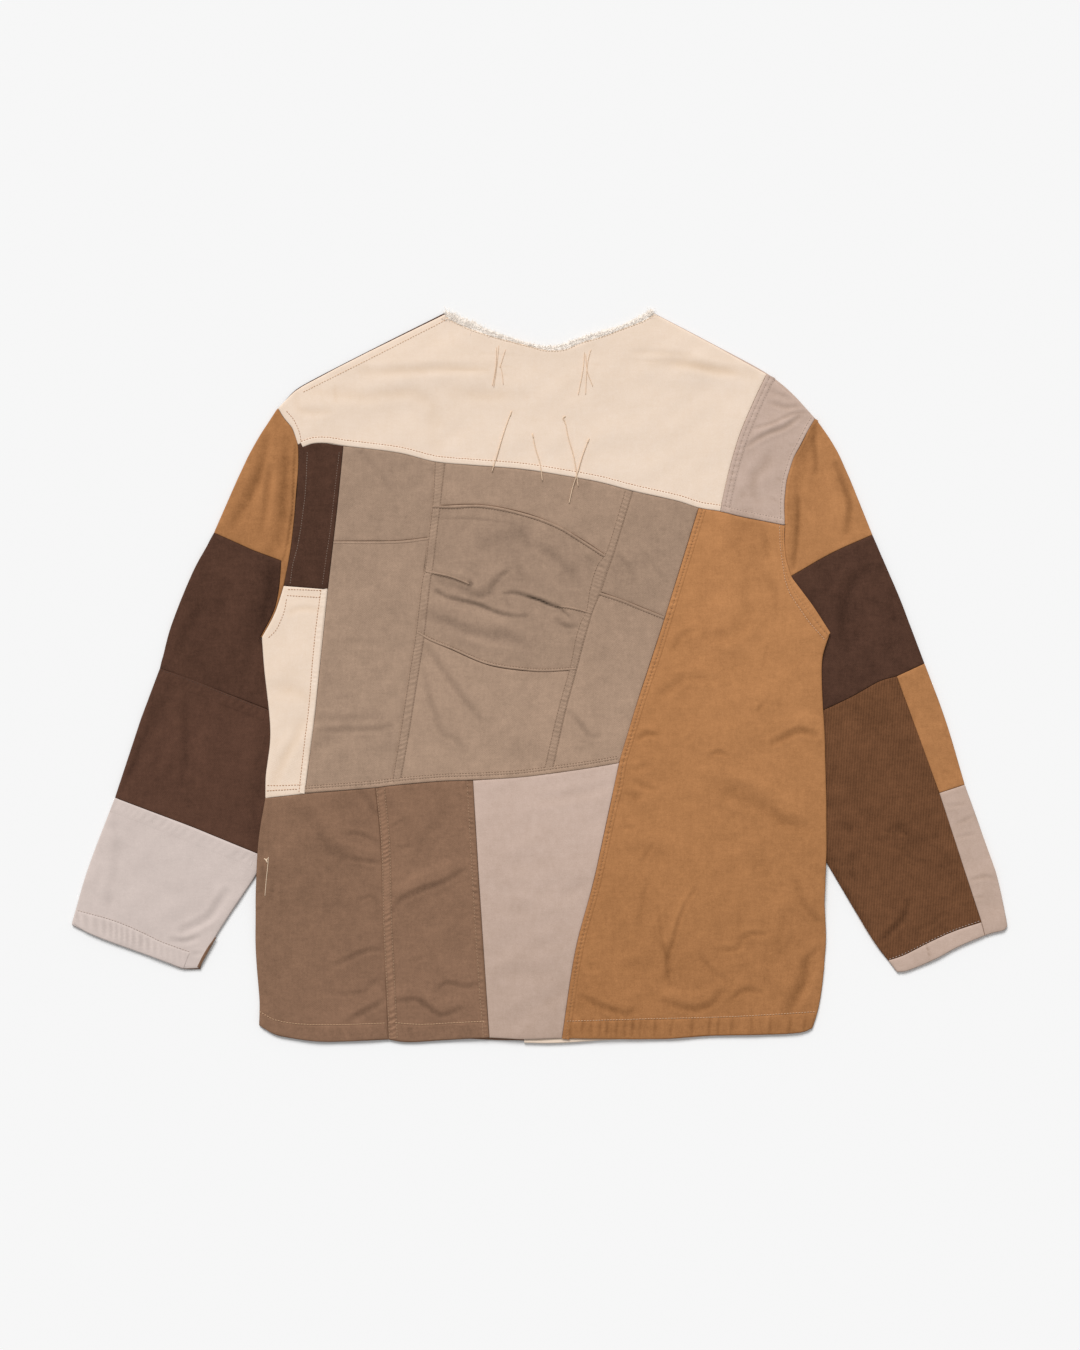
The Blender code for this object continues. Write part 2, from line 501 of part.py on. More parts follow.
def relief(point, folds, flat_edges):
    """Height of the soft folds, dying out towards the seamed edges."""
    height = 0.0
    for start, end, top, half_width in folds:
        distance, share = distance_to_span(point, Vector(start), Vector(end))
        fall = math.exp(-(distance / half_width) ** 2)
        height = max(height, top * fall * (FOLD_END + (1.0 - FOLD_END) * math.sin(math.pi * share)))
    return height * smooth_step(nearest(point, flat_edges) / RELIEF_FADE)


def floor_height(point):
    return 0.0


def front_left_height(point):
    return tuck_lift(point)


def front_right_height(point):
    return tuck_lift(point) + closure_lift(point.x, left_slope=False)


def sleeve_height(point):
    gap = layer_gap(point, SLEEVE_FOLDED)
    return CLOTH + gap + relief(point, SLEEVE_FOLDS, SLEEVE_FOLDED + ARMHOLES + SIDES)


def back_height(point):
    lift = tuck_lift(point) + closure_lift(point.x, left_slope=True)
    return CLOTH + lift + layer_gap(point, BODY_JOINED) + relief(point, BACK_FOLDS, BODY_JOINED + ARMHOLES)


HEIGHTS = {
    "floor": floor_height,
    "front_left": front_left_height,
    "front_right": front_right_height,
    "sleeve": sleeve_height,
    "back": back_height,
}


def lattice_points(outline):
    """Points of one garment-wide triangular lattice that lie well inside an outline."""
    row_step = LATTICE * math.sqrt(3) / 2
    low_row = math.floor(min(p.y for p in outline) / row_step)
    high_row = math.ceil(max(p.y for p in outline) / row_step)
    low_column = math.floor(min(p.x for p in outline) / LATTICE) - 1
    high_column = math.ceil(max(p.x for p in outline) / LATTICE) + 1
    closed = outline + outline[:1]
    points = []
    for row in range(low_row, high_row + 1):
        for column in range(low_column, high_column + 1):
            point = Vector(((column + 0.5 * (row % 2)) * LATTICE, row * row_step))
            if inside(point, outline) and distance_to_chain(point, closed) > LATTICE * LATTICE_MARGIN:
                points.append(point)
    return points


def make_material(name, colour):
    material = bpy.data.materials.get(name)
    if material is None:
        material = bpy.data.materials.new(name)
        material.use_nodes = True
        shader = material.node_tree.nodes["Principled BSDF"]
        shader.inputs["Base Color"].default_value = (*colour, 1.0)
        shader.inputs["Roughness"].default_value = 0.9
        shader.inputs["Metallic"].default_value = 0.0
    return material


def add_object(name, bm, colour):
    """Turn a bmesh drawn in millimetres into an object in metres."""
    bmesh.ops.scale(bm, verts=bm.verts, vec=(MM, MM, MM))
    mesh = bpy.data.meshes.new(name)
    bm.to_mesh(mesh)
    bm.free()
    mesh.shade_smooth()
    mesh.set_sharp_from_angle(angle=math.radians(SHARP_ANGLE))
    mesh.materials.append(make_material(name, colour))
    piece = bpy.data.objects.new(name, mesh)
    bpy.context.scene.collection.objects.link(piece)
    return piece


def add_piece(name, layer, colour, seams):
    """One cut piece: its outline filled with triangles, twice, and a wall between the two."""
    outline = narrowed(joined(seams), SEAM_GAP / 2)
    flat = outline + lattice_points(outline)
    border = list(range(len(outline)))
    points, _, faces, *_ = delaunay_2d_cdt(flat, [], [border], 1, 1e-4)
    bm = bmesh.new()
    lower = []
    upper = []
    for point in points:
        z = HEIGHTS[layer](point)
        lower.append(bm.verts.new((point.x, point.y, z)))
        upper.append(bm.verts.new((point.x, point.y, z + CLOTH)))
    for face in faces:
        bm.faces.new([upper[i] for i in face])
        bm.faces.new([lower[i] for i in reversed(face)])
    for a, b in zip(border, border[1:] + border[:1]):
        bm.faces.new([lower[a], lower[b], upper[b], upper[a]])
    return add_object(name, bm, colour)


def even_points(chain, pitch):
    """Points one pitch apart along a chain, each with the direction there."""
    length = sum((b - a).length for a, b in zip(chain, chain[1:]))
    count = round(length / pitch)
    places = []
    walked = 0.0
    target = 0.0
    for a, b in zip(chain, chain[1:]):
        run = (b - a).length
        while target <= walked + run + 1e-6 and len(places) <= count:
            places.append((a.lerp(b, (target - walked) / run), (b - a).normalized()))
            target += length / count
        walked += run
    return places


def add_neck_fray():
    """A strip along the raw neck edge, with one thread drawn out of every other face of it."""
    rng = random.Random(FRAY_SEED)
    chain = CHAINS["neck"]
    places = even_points(chain, FRAY_PITCH)
    stations = []
    for (here, along), (there, _) in zip(places, places[1:]):
        stations.append((here, along))
        stations.append((here.lerp(there, FRAY_THREAD / FRAY_PITCH), along))
    stations.append(places[-1])
    bm = bmesh.new()
    rings = []
    for place, along in stations:
        outward = Vector((-along.y, along.x))
        inner = place + outward * (SEAM_GAP / 2)
        outer = inner + outward * FRAY_STRIP
        low = back_height(place) + 0.5 * (CLOTH - FRAY_THICK)
        high = low + FRAY_THICK
        corners = ((inner, low), (outer, low), (outer, high), (inner, high))
        rings.append([bm.verts.new((corner.x, corner.y, z)) for corner, z in corners])
    last = len(rings) - 2
    for i, (near, far) in enumerate(zip(rings, rings[1:])):
        for a, b in ((0, 1), (2, 3), (3, 0)):
            bm.faces.new([near[a], near[b], far[b], far[a]])
        root = [near[1], near[2], far[2], far[1]]
        if i % 2:
            bm.faces.new(root)
            continue
        along = stations[i][1]
        outward = Vector((-along.y, along.x))
        at_end = min(i, last - i) < 2 * TUFT_THREADS
        length = rng.uniform(*(TUFT_LENGTH if at_end else FRAY_LENGTH))
        lean = rng.uniform(-FRAY_LEAN, FRAY_LEAN)
        drift = (outward + along * lean) * length
        centre = sum((v.co for v in root), Vector()) / 4
        tip = []
        for v in root:
            spread = (v.co - centre) * FRAY_TIP
            tip.append(bm.verts.new(centre + spread + Vector((drift.x, drift.y, 0.0))))
        for a in range(4):
            b = (a + 1) % 4
            bm.faces.new([root[a], root[b], tip[b], tip[a]])
        bm.faces.new(tip)
    bm.faces.new(reversed(rings[0]))
    bm.faces.new(rings[-1])
    bmesh.ops.recalc_face_normals(bm, faces=bm.faces)
    return add_object("neck_fray", bm, RAW_COTTON)


def centre_on_origin(pieces):
    """Shift every piece so that the garment's box is centred over the origin."""
    corners = [vert.co for piece in pieces for vert in piece.data.vertices]
    middle_x = (min(c.x for c in corners) + max(c.x for c in corners)) / 2
    middle_y = (min(c.y for c in corners) + max(c.y for c in corners)) / 2
    for piece in pieces:
        for vert in piece.data.vertices:
            vert.co.x -= middle_x
            vert.co.y -= middle_y


def main():
    for leftover in list(bpy.data.objects):
        bpy.data.objects.remove(leftover)
    pieces = [add_piece(name, *details) for name, details in PIECES.items()]
    pieces.append(add_neck_fray())
    centre_on_origin(pieces)


main()
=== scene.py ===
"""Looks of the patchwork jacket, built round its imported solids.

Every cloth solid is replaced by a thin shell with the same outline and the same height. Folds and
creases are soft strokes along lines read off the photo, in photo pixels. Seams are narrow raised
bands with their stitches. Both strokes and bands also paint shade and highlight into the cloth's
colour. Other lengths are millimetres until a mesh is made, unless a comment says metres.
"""

import math
import random

import bpy
import numpy as np
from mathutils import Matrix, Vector
from mathutils.bvhtree import BVHTree
from mathutils.geometry import delaunay_2d_cdt


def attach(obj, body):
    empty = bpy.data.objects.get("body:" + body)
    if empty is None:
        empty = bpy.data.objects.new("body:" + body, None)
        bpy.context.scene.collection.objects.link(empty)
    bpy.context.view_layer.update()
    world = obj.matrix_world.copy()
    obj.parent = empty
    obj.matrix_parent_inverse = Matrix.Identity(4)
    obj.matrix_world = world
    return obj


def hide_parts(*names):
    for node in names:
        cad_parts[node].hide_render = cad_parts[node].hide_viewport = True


MM = 0.001
PIXEL = 1.03            # millimetres that one photo pixel covers
ORIGIN = (539.5, 675.84)  # photo pixel over the row's origin

# Camera: straight down with a long lens, the photo's frame on the plane of the jacket
PHOTO_SIZE = (1080, 1350)
LENS = 85.0
SENSOR = 36.0

# Light: one wide soft lamp beyond the neck, and the pale surround
KEY_FROM = (-0.25, 0.9, 0.85)
KEY_SPREAD = 28.0       # degrees that it covers
KEY_POWER = 2.7
SKY_POWER = 0.42
FLOOR_HALF = 6.0        # metres from the middle of the floor to its sides
FLOOR_LEVEL = -0.0005   # metres
FLOOR_GREY = 0.93

# Cloth: noises as (scale, detail, roughness, stretch)
MOTTLE = (16.0, 2.0, 0.6, None)            # uneven dye
CLOUD = (75.0, 5.0, 0.92, None)            # washed-out patches down to single slubs
FLECK = (900.0, 2.0, 0.6, None)
WARP = (260.0, 3.0, 0.8, (1.0, 0.22, 1.0))
WEFT = (260.0, 3.0, 0.8, (0.22, 1.0, 1.0))
PLAIN_WEAVE = (1400.0, 1.0, 0.6, None)
PLAIN_DEPTH = 0.4       # tone of a plain weave, as a share of the slub
SLUB_SHARES = ((MOTTLE, 0.45), (CLOUD, 1.5), (WARP, 0.55), (WEFT, 0.55))
FLECK_SHARE = 0.9
WARM_BENDS = (("Red", -0.2), ("Green", 0.25), ("Blue", 0.9))  # change of a channel's power by warmth, which warms painted shade as well as darker slubs
FLECK_BUMP = 0.8        # height of the flecks, as a share of the weave's
CORD_BUMP = 0.0004      # metres, in corduroy
WEAVE_BUMP = 0.00022    # metres, in the other cloths
BUMP_STRENGTH = 0.5

# Shells
PITCH = 2.1             # spacing of the points inside a shell that shows
HIDDEN_PITCH = 7.0      # inside a shell under another one, and on undersides
FLOOR_PITCH = 5.0       # on the undersides that lie on the floor
EDGE_STEP = 2.1         # spacing along an outline
EDGE_RING = 0.9         # a row of points this far inside the outline
RING_CLEAR = 0.8        # of it, only the points at least this share of that from the outline
CORNER_ANGLE = 32.0     # outline turns beyond this stay sharp, in degrees
TOP_WALL = 0.8          # thickness of the upper shells
FLOOR_WALL = 1.2        # thickness of the shells that lie on the floor
EDGE_DIP = 0.45         # how far a sewn or folded edge turns down
DIP_WIDTH = 0.9         # how far in from the edge that reaches
FOLLOWED = 0.5          # share of the creases that a shell's underside follows
GRID = 3.0              # cell of the height grids
GRID_BLUR = 3           # their blur, in cells
CHUNK = 2000            # points compared with an outline at a time
INSIDE_ONLY = 1         # has delaunay_2d_cdt return only the triangles inside the outline
SAME_POINT = 1e-4       # points nearer than this become one
CLEAR_ABOVE = 100.0     # a height over everything
GRID_MARGIN = 10        # cells beyond the solids
BLUR_REACH = 3          # where the blur ends, as a multiple of that

# Creases
DEEPEST = -0.75         # creases go no deeper, so that layers stay apart
CREASE_SHADE = 1.6      # strengthens the tone of every crease: its painted shade and painted highlight
STROKE_STEP = 4.0       # spacing of the points along a crease
CREASE_REACH = 3.0      # a crease ends this many half-widths from its line
CREASE_TAPER = 0.08     # how blunt its ends are: 0 is a point, 0.5 is cut square
LIP_PLACE = 1.7         # half-widths from the middle of a valley to the lips beside it
LIP_WIDTH = 0.8         # half-width of the lips, as a share of the valley's
LIP_SHARE = 0.45        # height of the lips, as a share of the valley's depth
RUMPLE_WAVES = 48       # waves that make up the gentle unevenness of a layer
RUMPLE_LENGTHS = (20.0, 75.0)  # their lengths
ROLL_REACH = 2.6        # an outline point this near a closed edge is rolled under
ROLL_OUT = 0.45         # how far a rolled edge bulges
ROLL_LOW = 0.35         # height of its end over the underside of the layer below
TUCKED_IN = 1.1         # how far that layer's own edge stays inside the roll
LOWER_BULGE = 0.6       # share of the bulge that the roll still has at its end
SHOULDER_RINGS = 6      # rows of points over a rolled shoulder

# Seam bands
BAND_STEP = 1.1         # spacing of the points in a band
BAND_INSET = 0.3        # how far in from its edges a band has risen from the cloth
BAND_FLATNESS = 7       # power of its cross-section: the higher, the flatter its top
GROOVE_WIDTH = 0.6      # half-width of the groove under a row of stitches
GROOVE_DEPTH = 0.6      # its depth, as a share of the band's height
GROOVE_CLEAR = 0.45     # other points keep this far from a groove
SLANT = 0.35            # how far the ripples lean along a band, as a share of its width
RIPPLE_RUN = 2.5        # ripples over which their width and strength change
RIPPLE_RATES = (0.6, 1.5)      # how much narrower or wider than their mean they get
RIPPLE_STRENGTHS = (0.2, 1.25)

# Threads
LINE_STEP = 2.0         # spacing along the line of a seam
THREAD_STEP = 1.5       # spacing of the points along a loose thread
THREAD_SIDES = 5
# Rings of a stitch: place along it, thickness, and height in radii. Both ends dip into the cloth.
STITCH_RINGS = (
    (-0.5, 0.35, -1.3), (-0.32, 0.9, 0.0), (0.0, 1.0, 0.3), (0.32, 0.9, 0.0), (0.5, 0.35, -1.3))
STITCH_LENGTHS = (0.85, 1.1)   # shortest and longest stitch, as a share of their mean
STITCH_DRIFT = 0.1      # how far a stitch may lie beside its row
STITCH_KINK = 0.04      # and each of its rings beside the stitch
THREAD_FLECK = 500.0    # scale of the noise in a thread
THREAD_DARK = 0.8       # its darkest colour, as a share of the mean
THREAD_PALE = 1.2       # and its palest

# Neck fray: first the strip of bare weave, whose rows run from the cloth to the tips
WEAVE_SHARES = (-0.15, 0.1, 0.35, 0.6, 0.8, 1.0)
WEAVE_RAGGED = (0.72, 1.15)    # how far it reaches, as a share of the fray's width
WEAVE_SINK = 0.25       # depth of its first row under the cloth
WEAVE_LIFT = 0.1        # height of the others over the cloth
WEAVE_FALL = 0.3        # less of it at the tips
WEAVE_ROUGH = 0.04      # and a random part of it
WEAVE_TONES = (0.03, 0.02, 0.0, -0.03)
# Then its loose threads
FRAY_COUNT = 950
FRAY_SIDES = 3
FRAY_RINGS = 5
FRAY_ROOT = 0.9         # how far inside the edge a thread may start
FRAY_REACH = (0.35, 0.75)      # its length, as a share of the fray's width
FRAY_STRETCH = (1.0, 1.0, 1.3)  # one thread in three is longer
FRAY_RADIUS = (0.14, 0.26)
FRAY_TURN = 0.55        # spread of the directions, in radians
FRAY_CURL = 0.9         # spread of the turn along a thread, in radians
FRAY_LEVEL = 0.3        # highest start over the cloth
FRAY_LIFT = (-0.4, 0.2)        # how far its end falls or rises
FRAY_WAVE = 0.25        # height of the wave in it
FRAY_FLOOR = 0.2        # no thread lies lower
FRAY_TONES = (0.03, 0.02, 0.01, -0.01, -0.05)
TUFT_EVERY = 12         # one thread in this many stands in a tuft
TUFT_STEPS = 4.0        # steps of the edge that a tuft takes up
TUFT_REACH = 1.25       # how much longer its threads are
TUFT_TURN = 0.8         # spread of their directions, in radians

BACK = [
    "back_yoke", "back_yoke_end", "back_strip_dark", "back_strip_cream", "taupe_left_upper",
    "taupe_left_lower", "taupe_top", "taupe_knee", "taupe_low", "taupe_right_upper",
    "taupe_right_lower", "brown_left", "brown_right", "mauve_low", "tan_right"]
SLEEVES = [
    "sleeve_l_cap", "sleeve_l_upper", "sleeve_l_lower", "sleeve_l_cuff", "sleeve_r_cap",
    "sleeve_r_dark", "sleeve_r_cord", "sleeve_r_strip_tan", "sleeve_r_strip_mauve", "sleeve_r_band"]
FRONTS = ["front_left_yoke", "front_left", "front_right_yoke", "front_right"]
UNDERS = ["sleeve_l_under", "sleeve_r_under"]

# Creases: half-width in photo pixels, height in millimetres (below 0 is a pinched valley), change of
# tone at the middle (painted shade in the valleys, painted highlight on the ridges), and the line in
# photo pixels
BACK_STROKES = [
    # yoke
    (4.5, -0.35, -0.045, [(362, 372.5), (403, 371), (440, 369), (488, 369)]),
    (1.2, -0.1, -0.025, [(446, 370.3), (488, 370.6)]),
    (7.0, 0.35, 0.01, [(366, 386), (405, 382), (440, 379), (480, 378)]),
    (6.0, -0.3, -0.035, [(318, 392), (338, 394), (366, 397), (391, 394), (415, 394), (430, 404),
     (440, 423)]),
    (6.0, -0.2, -0.03, [(455, 394), (490, 395), (521, 396)]),
    (4.0, -0.25, -0.03, [(296, 395), (299, 409), (311, 412.5), (328, 412)]),
    (1.3, -0.1, -0.03, [(335, 383), (335.5, 402)]),
    (7.0, -0.25, -0.02, [(430, 418), (436, 455)]),
    (5.0, -0.2, -0.03, [(650, 363.6), (683, 363.5), (711, 369.3), (752, 375)]),
    (4.5, -0.3, -0.045, [(676, 362.8), (694, 365.6), (712, 369.6), (732, 372)]),
    (8.0, 0.35, 0.01, [(640, 376), (700, 380), (745, 386)]),
    (3.0, -0.2, -0.025, [(632, 352.4), (660, 353), (690, 356)]),
    (1.2, -0.1, -0.02, [(636, 361), (662, 361.5)]),
    (1.2, -0.1, -0.025, [(480, 353.6), (500, 354.6), (520, 356)]),
    (1.2, -0.1, -0.02, [(494, 366.4), (512, 367)]),
    (1.2, -0.1, -0.02, [(496, 375), (515, 375.5)]),
    (1.2, -0.1, -0.02, [(591, 365), (604, 365.5)]),
    # yoke end
    (2.2, -0.5, -0.07, [(768.6, 403.2), (776.3, 405.3), (786.7, 407.9), (798.7, 406.2)]),
    (1.7, -0.5, -0.1, [(753.5, 428.6), (772, 423.4), (783.2, 418.3), (798.7, 412.7), (808.2, 413.5)]),
    (2.4, -0.7, -0.13, [(747, 446.7), (756.5, 439.8), (769.5, 433.3), (780.7, 429.5), (790, 424.3),
     (799.6, 416.5)]),
    (4.0, 0.5, 0.02, [(752, 436), (770, 428), (792, 417)]),
    (2.5, -0.4, -0.05, [(770.6, 392), (790, 399)]),
    (6.0, -0.5, -0.09, [(754, 476), (764, 466), (771, 455)]),
    (5.0, -0.5, -0.09, [(754, 477), (752.2, 489.7), (755.7, 500)]),
    (4.0, -0.3, -0.06, [(744, 490), (742.5, 500)]),
    (1.3, -0.3, -0.08, [(776.5, 478), (780.5, 481.5)]),
    (1.3, -0.3, -0.07, [(771.5, 498.6), (777.4, 502.2)]),
    (1.3, -0.3, -0.06, [(787.5, 443.2), (791.2, 446.8)]),
    # left column
    (4.0, -0.35, -0.05, [(362, 455), (376, 470), (391, 490)]),
    (3.5, -0.3, -0.035, [(391, 466), (396, 484)]),
    (4.5, -0.45, -0.05, [(318, 720.6), (350, 719.5), (379, 717.6)]),
    (3.2, -0.6, -0.1, [(321.6, 731), (350, 729.8), (383, 728.8), (391, 725.7)]),
    (8.0, -0.4, -0.06, [(311, 757), (322, 744), (342, 733)]),
    (7.0, 0.5, 0.02, [(330, 750), (392, 741)]),
    (4.0, -0.25, -0.03, [(332, 643), (383, 644)]),
    (6.0, -0.3, -0.03, [(327, 690), (331, 668)]),
    # knee
    (1.5, -0.4, -0.16, [(434, 575.4), (447, 577.8), (458, 581), (469.5, 586)]),
    (1.6, -0.5, -0.3, [(469, 581), (471.4, 583.6), (470.6, 586.4)]),
    (4.0, 0.6, 0.05, [(438, 567.5), (455, 572), (472, 578)]),
    (4.0, -0.3, -0.05, [(436, 579), (452, 583.5), (464, 588)]),
    (3.8, -0.6, -0.16, [(455, 586), (468.5, 592.6), (480, 595.6), (489, 592.8), (495.3, 584.5)]),
    (2.6, -0.5, -0.13, [(494, 585), (501.6, 576), (511, 569.5)]),
    (5.0, 0.8, 0.04, [(476, 587), (487, 580), (498, 567)]),
    (3.6, -0.4, -0.08, [(515, 554), (518.2, 568), (522, 577), (525, 587)]),
    (8.0, -0.4, -0.08, [(482, 544), (503, 538), (522, 532)]),
    (5.5, -0.4, -0.09, [(519, 528), (525, 536), (527, 544)]),
    (5.0, -0.5, -0.1, [(527, 545), (546, 551.5), (560.4, 562), (572, 574), (580, 587)]),
    (9.0, 0.7, 0.03, [(534, 560), (546, 576), (558, 592)]),
    (2.0, -0.7, -0.34, [(505, 593.4), (514, 592.8), (528.4, 596.4), (541, 600.6), (551, 605),
     (559, 607.6)]),
    (1.1, -0.4, -0.3, [(528, 596.6), (540, 600.4), (552, 605.6), (558, 607.4)]),
    (1.4, -0.4, -0.26, [(558, 607), (564.1, 611.7), (569.6, 617)]),
    (2.0, -0.3, -0.08, [(505.5, 597), (508, 604.7), (512.2, 609)]),
    (1.6, -0.2, -0.05, [(472.3, 573.4), (479, 577)]),
    (2.2, -0.7, -0.3, [(436, 590.5), (446, 596.6), (458.3, 599.8), (476, 604), (499, 613), (512, 616),
     (527, 616)]),
    (5.0, 0.9, 0.05, [(440, 601), (470, 612), (505, 623.5)]),
    (5.8, -0.6, -0.15, [(428, 615), (446, 620.8), (475, 632), (491.4, 635.3), (509, 637), (528, 646)]),
    (6.0, 0.7, 0.03, [(440, 631), (480, 644), (525, 655)]),
    (2.6, -0.5, -0.2, [(557, 620), (561, 624), (566, 626.4), (576, 627)]),
    (1.2, -0.3, -0.1, [(432.5, 517.8), (446, 518.6), (470, 518.8), (496, 521.8), (512, 523.6)]),
    (2.4, -0.2, -0.05, [(436, 563.9), (452, 568), (459, 572)]),
    (3.2, -0.3, -0.06, [(583, 556), (595, 564)]),
    # middle, below the knee
    (3.6, -0.75, -0.13, [(425.7, 647), (436, 659.4), (448, 678), (464.5, 700), (481, 721)]),
    (8.0, 0.9, 0.03, [(432, 668), (449, 706), (462, 730)]),
    (3.2, -0.7, -0.11, [(423.7, 671.6), (431.8, 704), (444, 735), (456, 741), (466.5, 753)]),
    (10.0, -0.35, -0.03, [(480, 722), (500, 748), (540, 760)]),
    # right column
    (2.8, -0.5, -0.09, [(615.5, 553.3), (630, 569.6), (634, 582)]),
    (3.0, -0.35, -0.05, [(638, 547), (655, 568), (666.5, 584)]),
    (3.0, -0.6, -0.11, [(568.6, 712.4), (580.8, 724.7), (591, 737), (599, 736)]),
    (9.0, -0.35, -0.03, [(575, 750), (600, 758)]),
    # brown, left
    (3.6, -0.5, -0.14, [(359, 790), (369, 801), (377, 814)]),
    (6.5, -0.4, -0.07, [(298, 812), (310, 819), (322, 828)]),
    (6.0, -0.5, -0.09, [(318, 830), (328, 848), (346, 857.3)]),
    (2.6, -0.6, -0.1, [(346, 857.3), (362, 860.5), (379, 862.4)]),
    (2.6, -0.55, -0.1, [(346, 833), (362.4, 835), (377, 843)]),
    (5.0, 0.6, 0.04, [(340, 842), (360, 848), (378, 853)]),
    (2.2, -0.4, -0.06, [(358, 901), (370.6, 897), (379, 904)]),
    (3.0, -0.6, -0.1, [(336, 965.3), (350, 958), (370.6, 950), (381, 949)]),
    (3.0, -0.5, -0.07, [(328, 993), (362, 993), (374.7, 983), (383, 980.6)]),
    (3.0, -0.75, -0.13, [(350, 1020.4), (366.5, 1011), (383, 1002)]),
    (4.5, 0.6, 0.04, [(352, 1010), (368, 1001), (381, 993)]),
    (3.5, -0.5, -0.07, [(275, 853), (275.5, 872), (273.5, 890)]),
    (3.0, -0.3, -0.08, [(262, 868), (264, 880), (262, 892)]),
    (1.6, -0.3, -0.1, [(259.5, 890.5), (261.6, 891)]),
    (1.6, -0.3, -0.1, [(271.6, 890.4), (273.8, 891)]),
    (2.0, -0.3, -0.09, [(257, 910), (262.4, 907.6)]),
    # cream strip, left
    (3.0, -0.25, -0.035, [(289, 613), (301, 608.5), (324, 610.5)]),
    (7.0, -0.3, -0.03, [(276, 690), (292, 690), (308, 698)]),
    (4.5, -0.4, -0.045, [(303, 722), (296, 738), (285, 758), (275, 782)]),
    # brown, right
    (2.0, -0.4, -0.06, [(392, 826.7), (403.3, 820.6)]),
    (4.5, -0.5, -0.06, [(415.5, 867.5), (423.7, 841), (436, 826.7), (452, 808.4)]),
    (3.0, -0.4, -0.05, [(398, 850), (412, 846)]),
    (3.0, -0.85, -0.17, [(393, 911), (400, 901), (423.7, 889), (444, 882), (464.5, 869.6)]),
    (6.0, 0.9, 0.06, [(398, 890), (424, 876), (455, 862)]),
    (2.2, -0.35, -0.05, [(415.5, 960), (428, 956)]),
    (2.6, -0.6, -0.11, [(436, 991), (446, 983), (464.5, 986.7), (479, 984.7)]),
    (2.8, -0.85, -0.18, [(397, 1001.4), (417.6, 1000), (430, 1009), (442, 1015.3), (460.4, 1009)]),
    (5.0, 0.7, 0.05, [(400, 991), (420, 990), (438, 1001), (455, 1002)]),
    # mauve, low
    (9.0, -0.3, -0.02, [(499, 863.5), (558, 863.5)]),
    (7.0, -0.3, -0.02, [(501, 909), (530, 911)]),
    (7.0, -0.3, -0.02, [(526, 948), (558, 941.8)]),
    (7.0, -0.3, -0.02, [(501, 972.4), (546, 973.5)]),
    (5.0, -0.35, -0.025, [(540, 800), (575, 795), (605, 787)]),
    (6.0, -0.3, -0.02, [(560, 900), (575, 890), (588, 884)]),
    (6.0, -0.3, -0.02, [(545, 1003), (568, 992)]),
    # tan, upper
    (9.0, -0.8, -0.1, [(742, 520), (736, 545), (735, 560)]),
    (14.0, -0.3, -0.09, [(748, 518), (752, 545), (756, 570)]),
    (3.4, -0.6, -0.1, [(762.8, 527.4), (765.6, 543.7), (767.5, 558)]),
    (4.5, -0.5, -0.08, [(768, 578), (772, 590), (777, 606)]),
    (3.5, 0.5, 0.04, [(771.5, 535), (774.5, 560), (779, 590)]),
    (6.5, -0.7, -0.09, [(744, 590), (747, 612), (734, 634), (707.3, 638)]),
    (8.0, 0.9, 0.04, [(722, 600), (720, 620)]),
    (3.2, -0.5, -0.08, [(672.7, 650), (683, 635), (697, 630.8)]),
    (11.0, -0.5, -0.05, [(735, 664), (737, 670)]),
    (2.6, -0.4, -0.06, [(766.5, 649), (762.4, 671.6)]),
    (4.5, -0.5, -0.07, [(654.3, 700), (670.6, 688), (687, 678), (713.5, 680)]),
    (2.4, -0.4, -0.07, [(756, 712.4), (766.5, 700)]),
    (3.4, -0.85, -0.18, [(772.7, 743), (793, 733), (801, 731), (815.5, 735)]),
    (6.0, 0.9, 0.06, [(780, 725), (800, 719), (815, 722)]),
    (2.8, -0.8, -0.17, [(638, 739), (646, 734), (656.3, 735.3)]),
    (2.4, -0.4, -0.07, [(687, 741), (693, 733)]),
    (2.6, -0.6, -0.11, [(709.4, 757.3), (717.6, 752), (728, 755.3)]),
    (3.6, -0.4, -0.05, [(630, 769.6), (650, 766.5)]),
    (3.0, -0.5, -0.07, [(634, 782), (656, 790)]),
    (3.0, -0.5, -0.07, [(625.7, 794), (640, 798)]),
    (8.5, -0.8, -0.09, [(717.6, 786), (744, 796), (764.5, 806)]),
    (5.5, -0.7, -0.09, [(764.5, 806), (781, 820), (807, 827)]),
    (8.0, 0.6, 0.03, [(725, 772), (760, 786), (800, 806)]),
    (1.8, -0.3, -0.04, [(709.4, 786), (709.4, 816)]),
    # tan, lower
    (2.4, -0.4, -0.06, [(622, 827), (634, 829)]),
    (2.6, -0.5, -0.07, [(642, 861.4), (652, 847)]),
    (9.0, -0.45, -0.05, [(758, 862), (762, 868)]),
    (3.0, -0.5, -0.07, [(652, 875), (644, 895), (640, 927.6)]),
    (2.2, -0.65, -0.11, [(695, 888.8), (683, 909), (672.7, 942), (666.5, 964.3), (670.6, 986.7)]),
    (2.0, -0.5, -0.08, [(658.4, 907), (662.4, 940), (666.5, 958)]),
    (5.0, 0.6, 0.05, [(688, 893), (677, 915), (668, 935)]),
    (1.8, -0.3, -0.05, [(740, 891), (739, 915), (739, 940)]),
    (3.0, -0.55, -0.08, [(719.6, 950), (738, 948), (746, 935.7), (764.5, 933.7)]),
    (3.0, -0.45, -0.06, [(699, 954), (713.5, 972.4), (725.7, 980.6)]),
    (4.5, -0.4, -0.05, [(783, 911), (780, 940), (778.8, 960)]),
    (4.0, -0.45, -0.06, [(793, 933.7), (783, 956)]),
    (3.5, -0.65, -0.09, [(795, 878.6), (803, 903), (819.6, 923.5)]),
    (3.2, -0.5, -0.08, [(819.6, 948), (810, 956), (805, 966)]),
    (5.5, -0.8, -0.17, [(805, 962), (801, 984), (788, 1011)]),
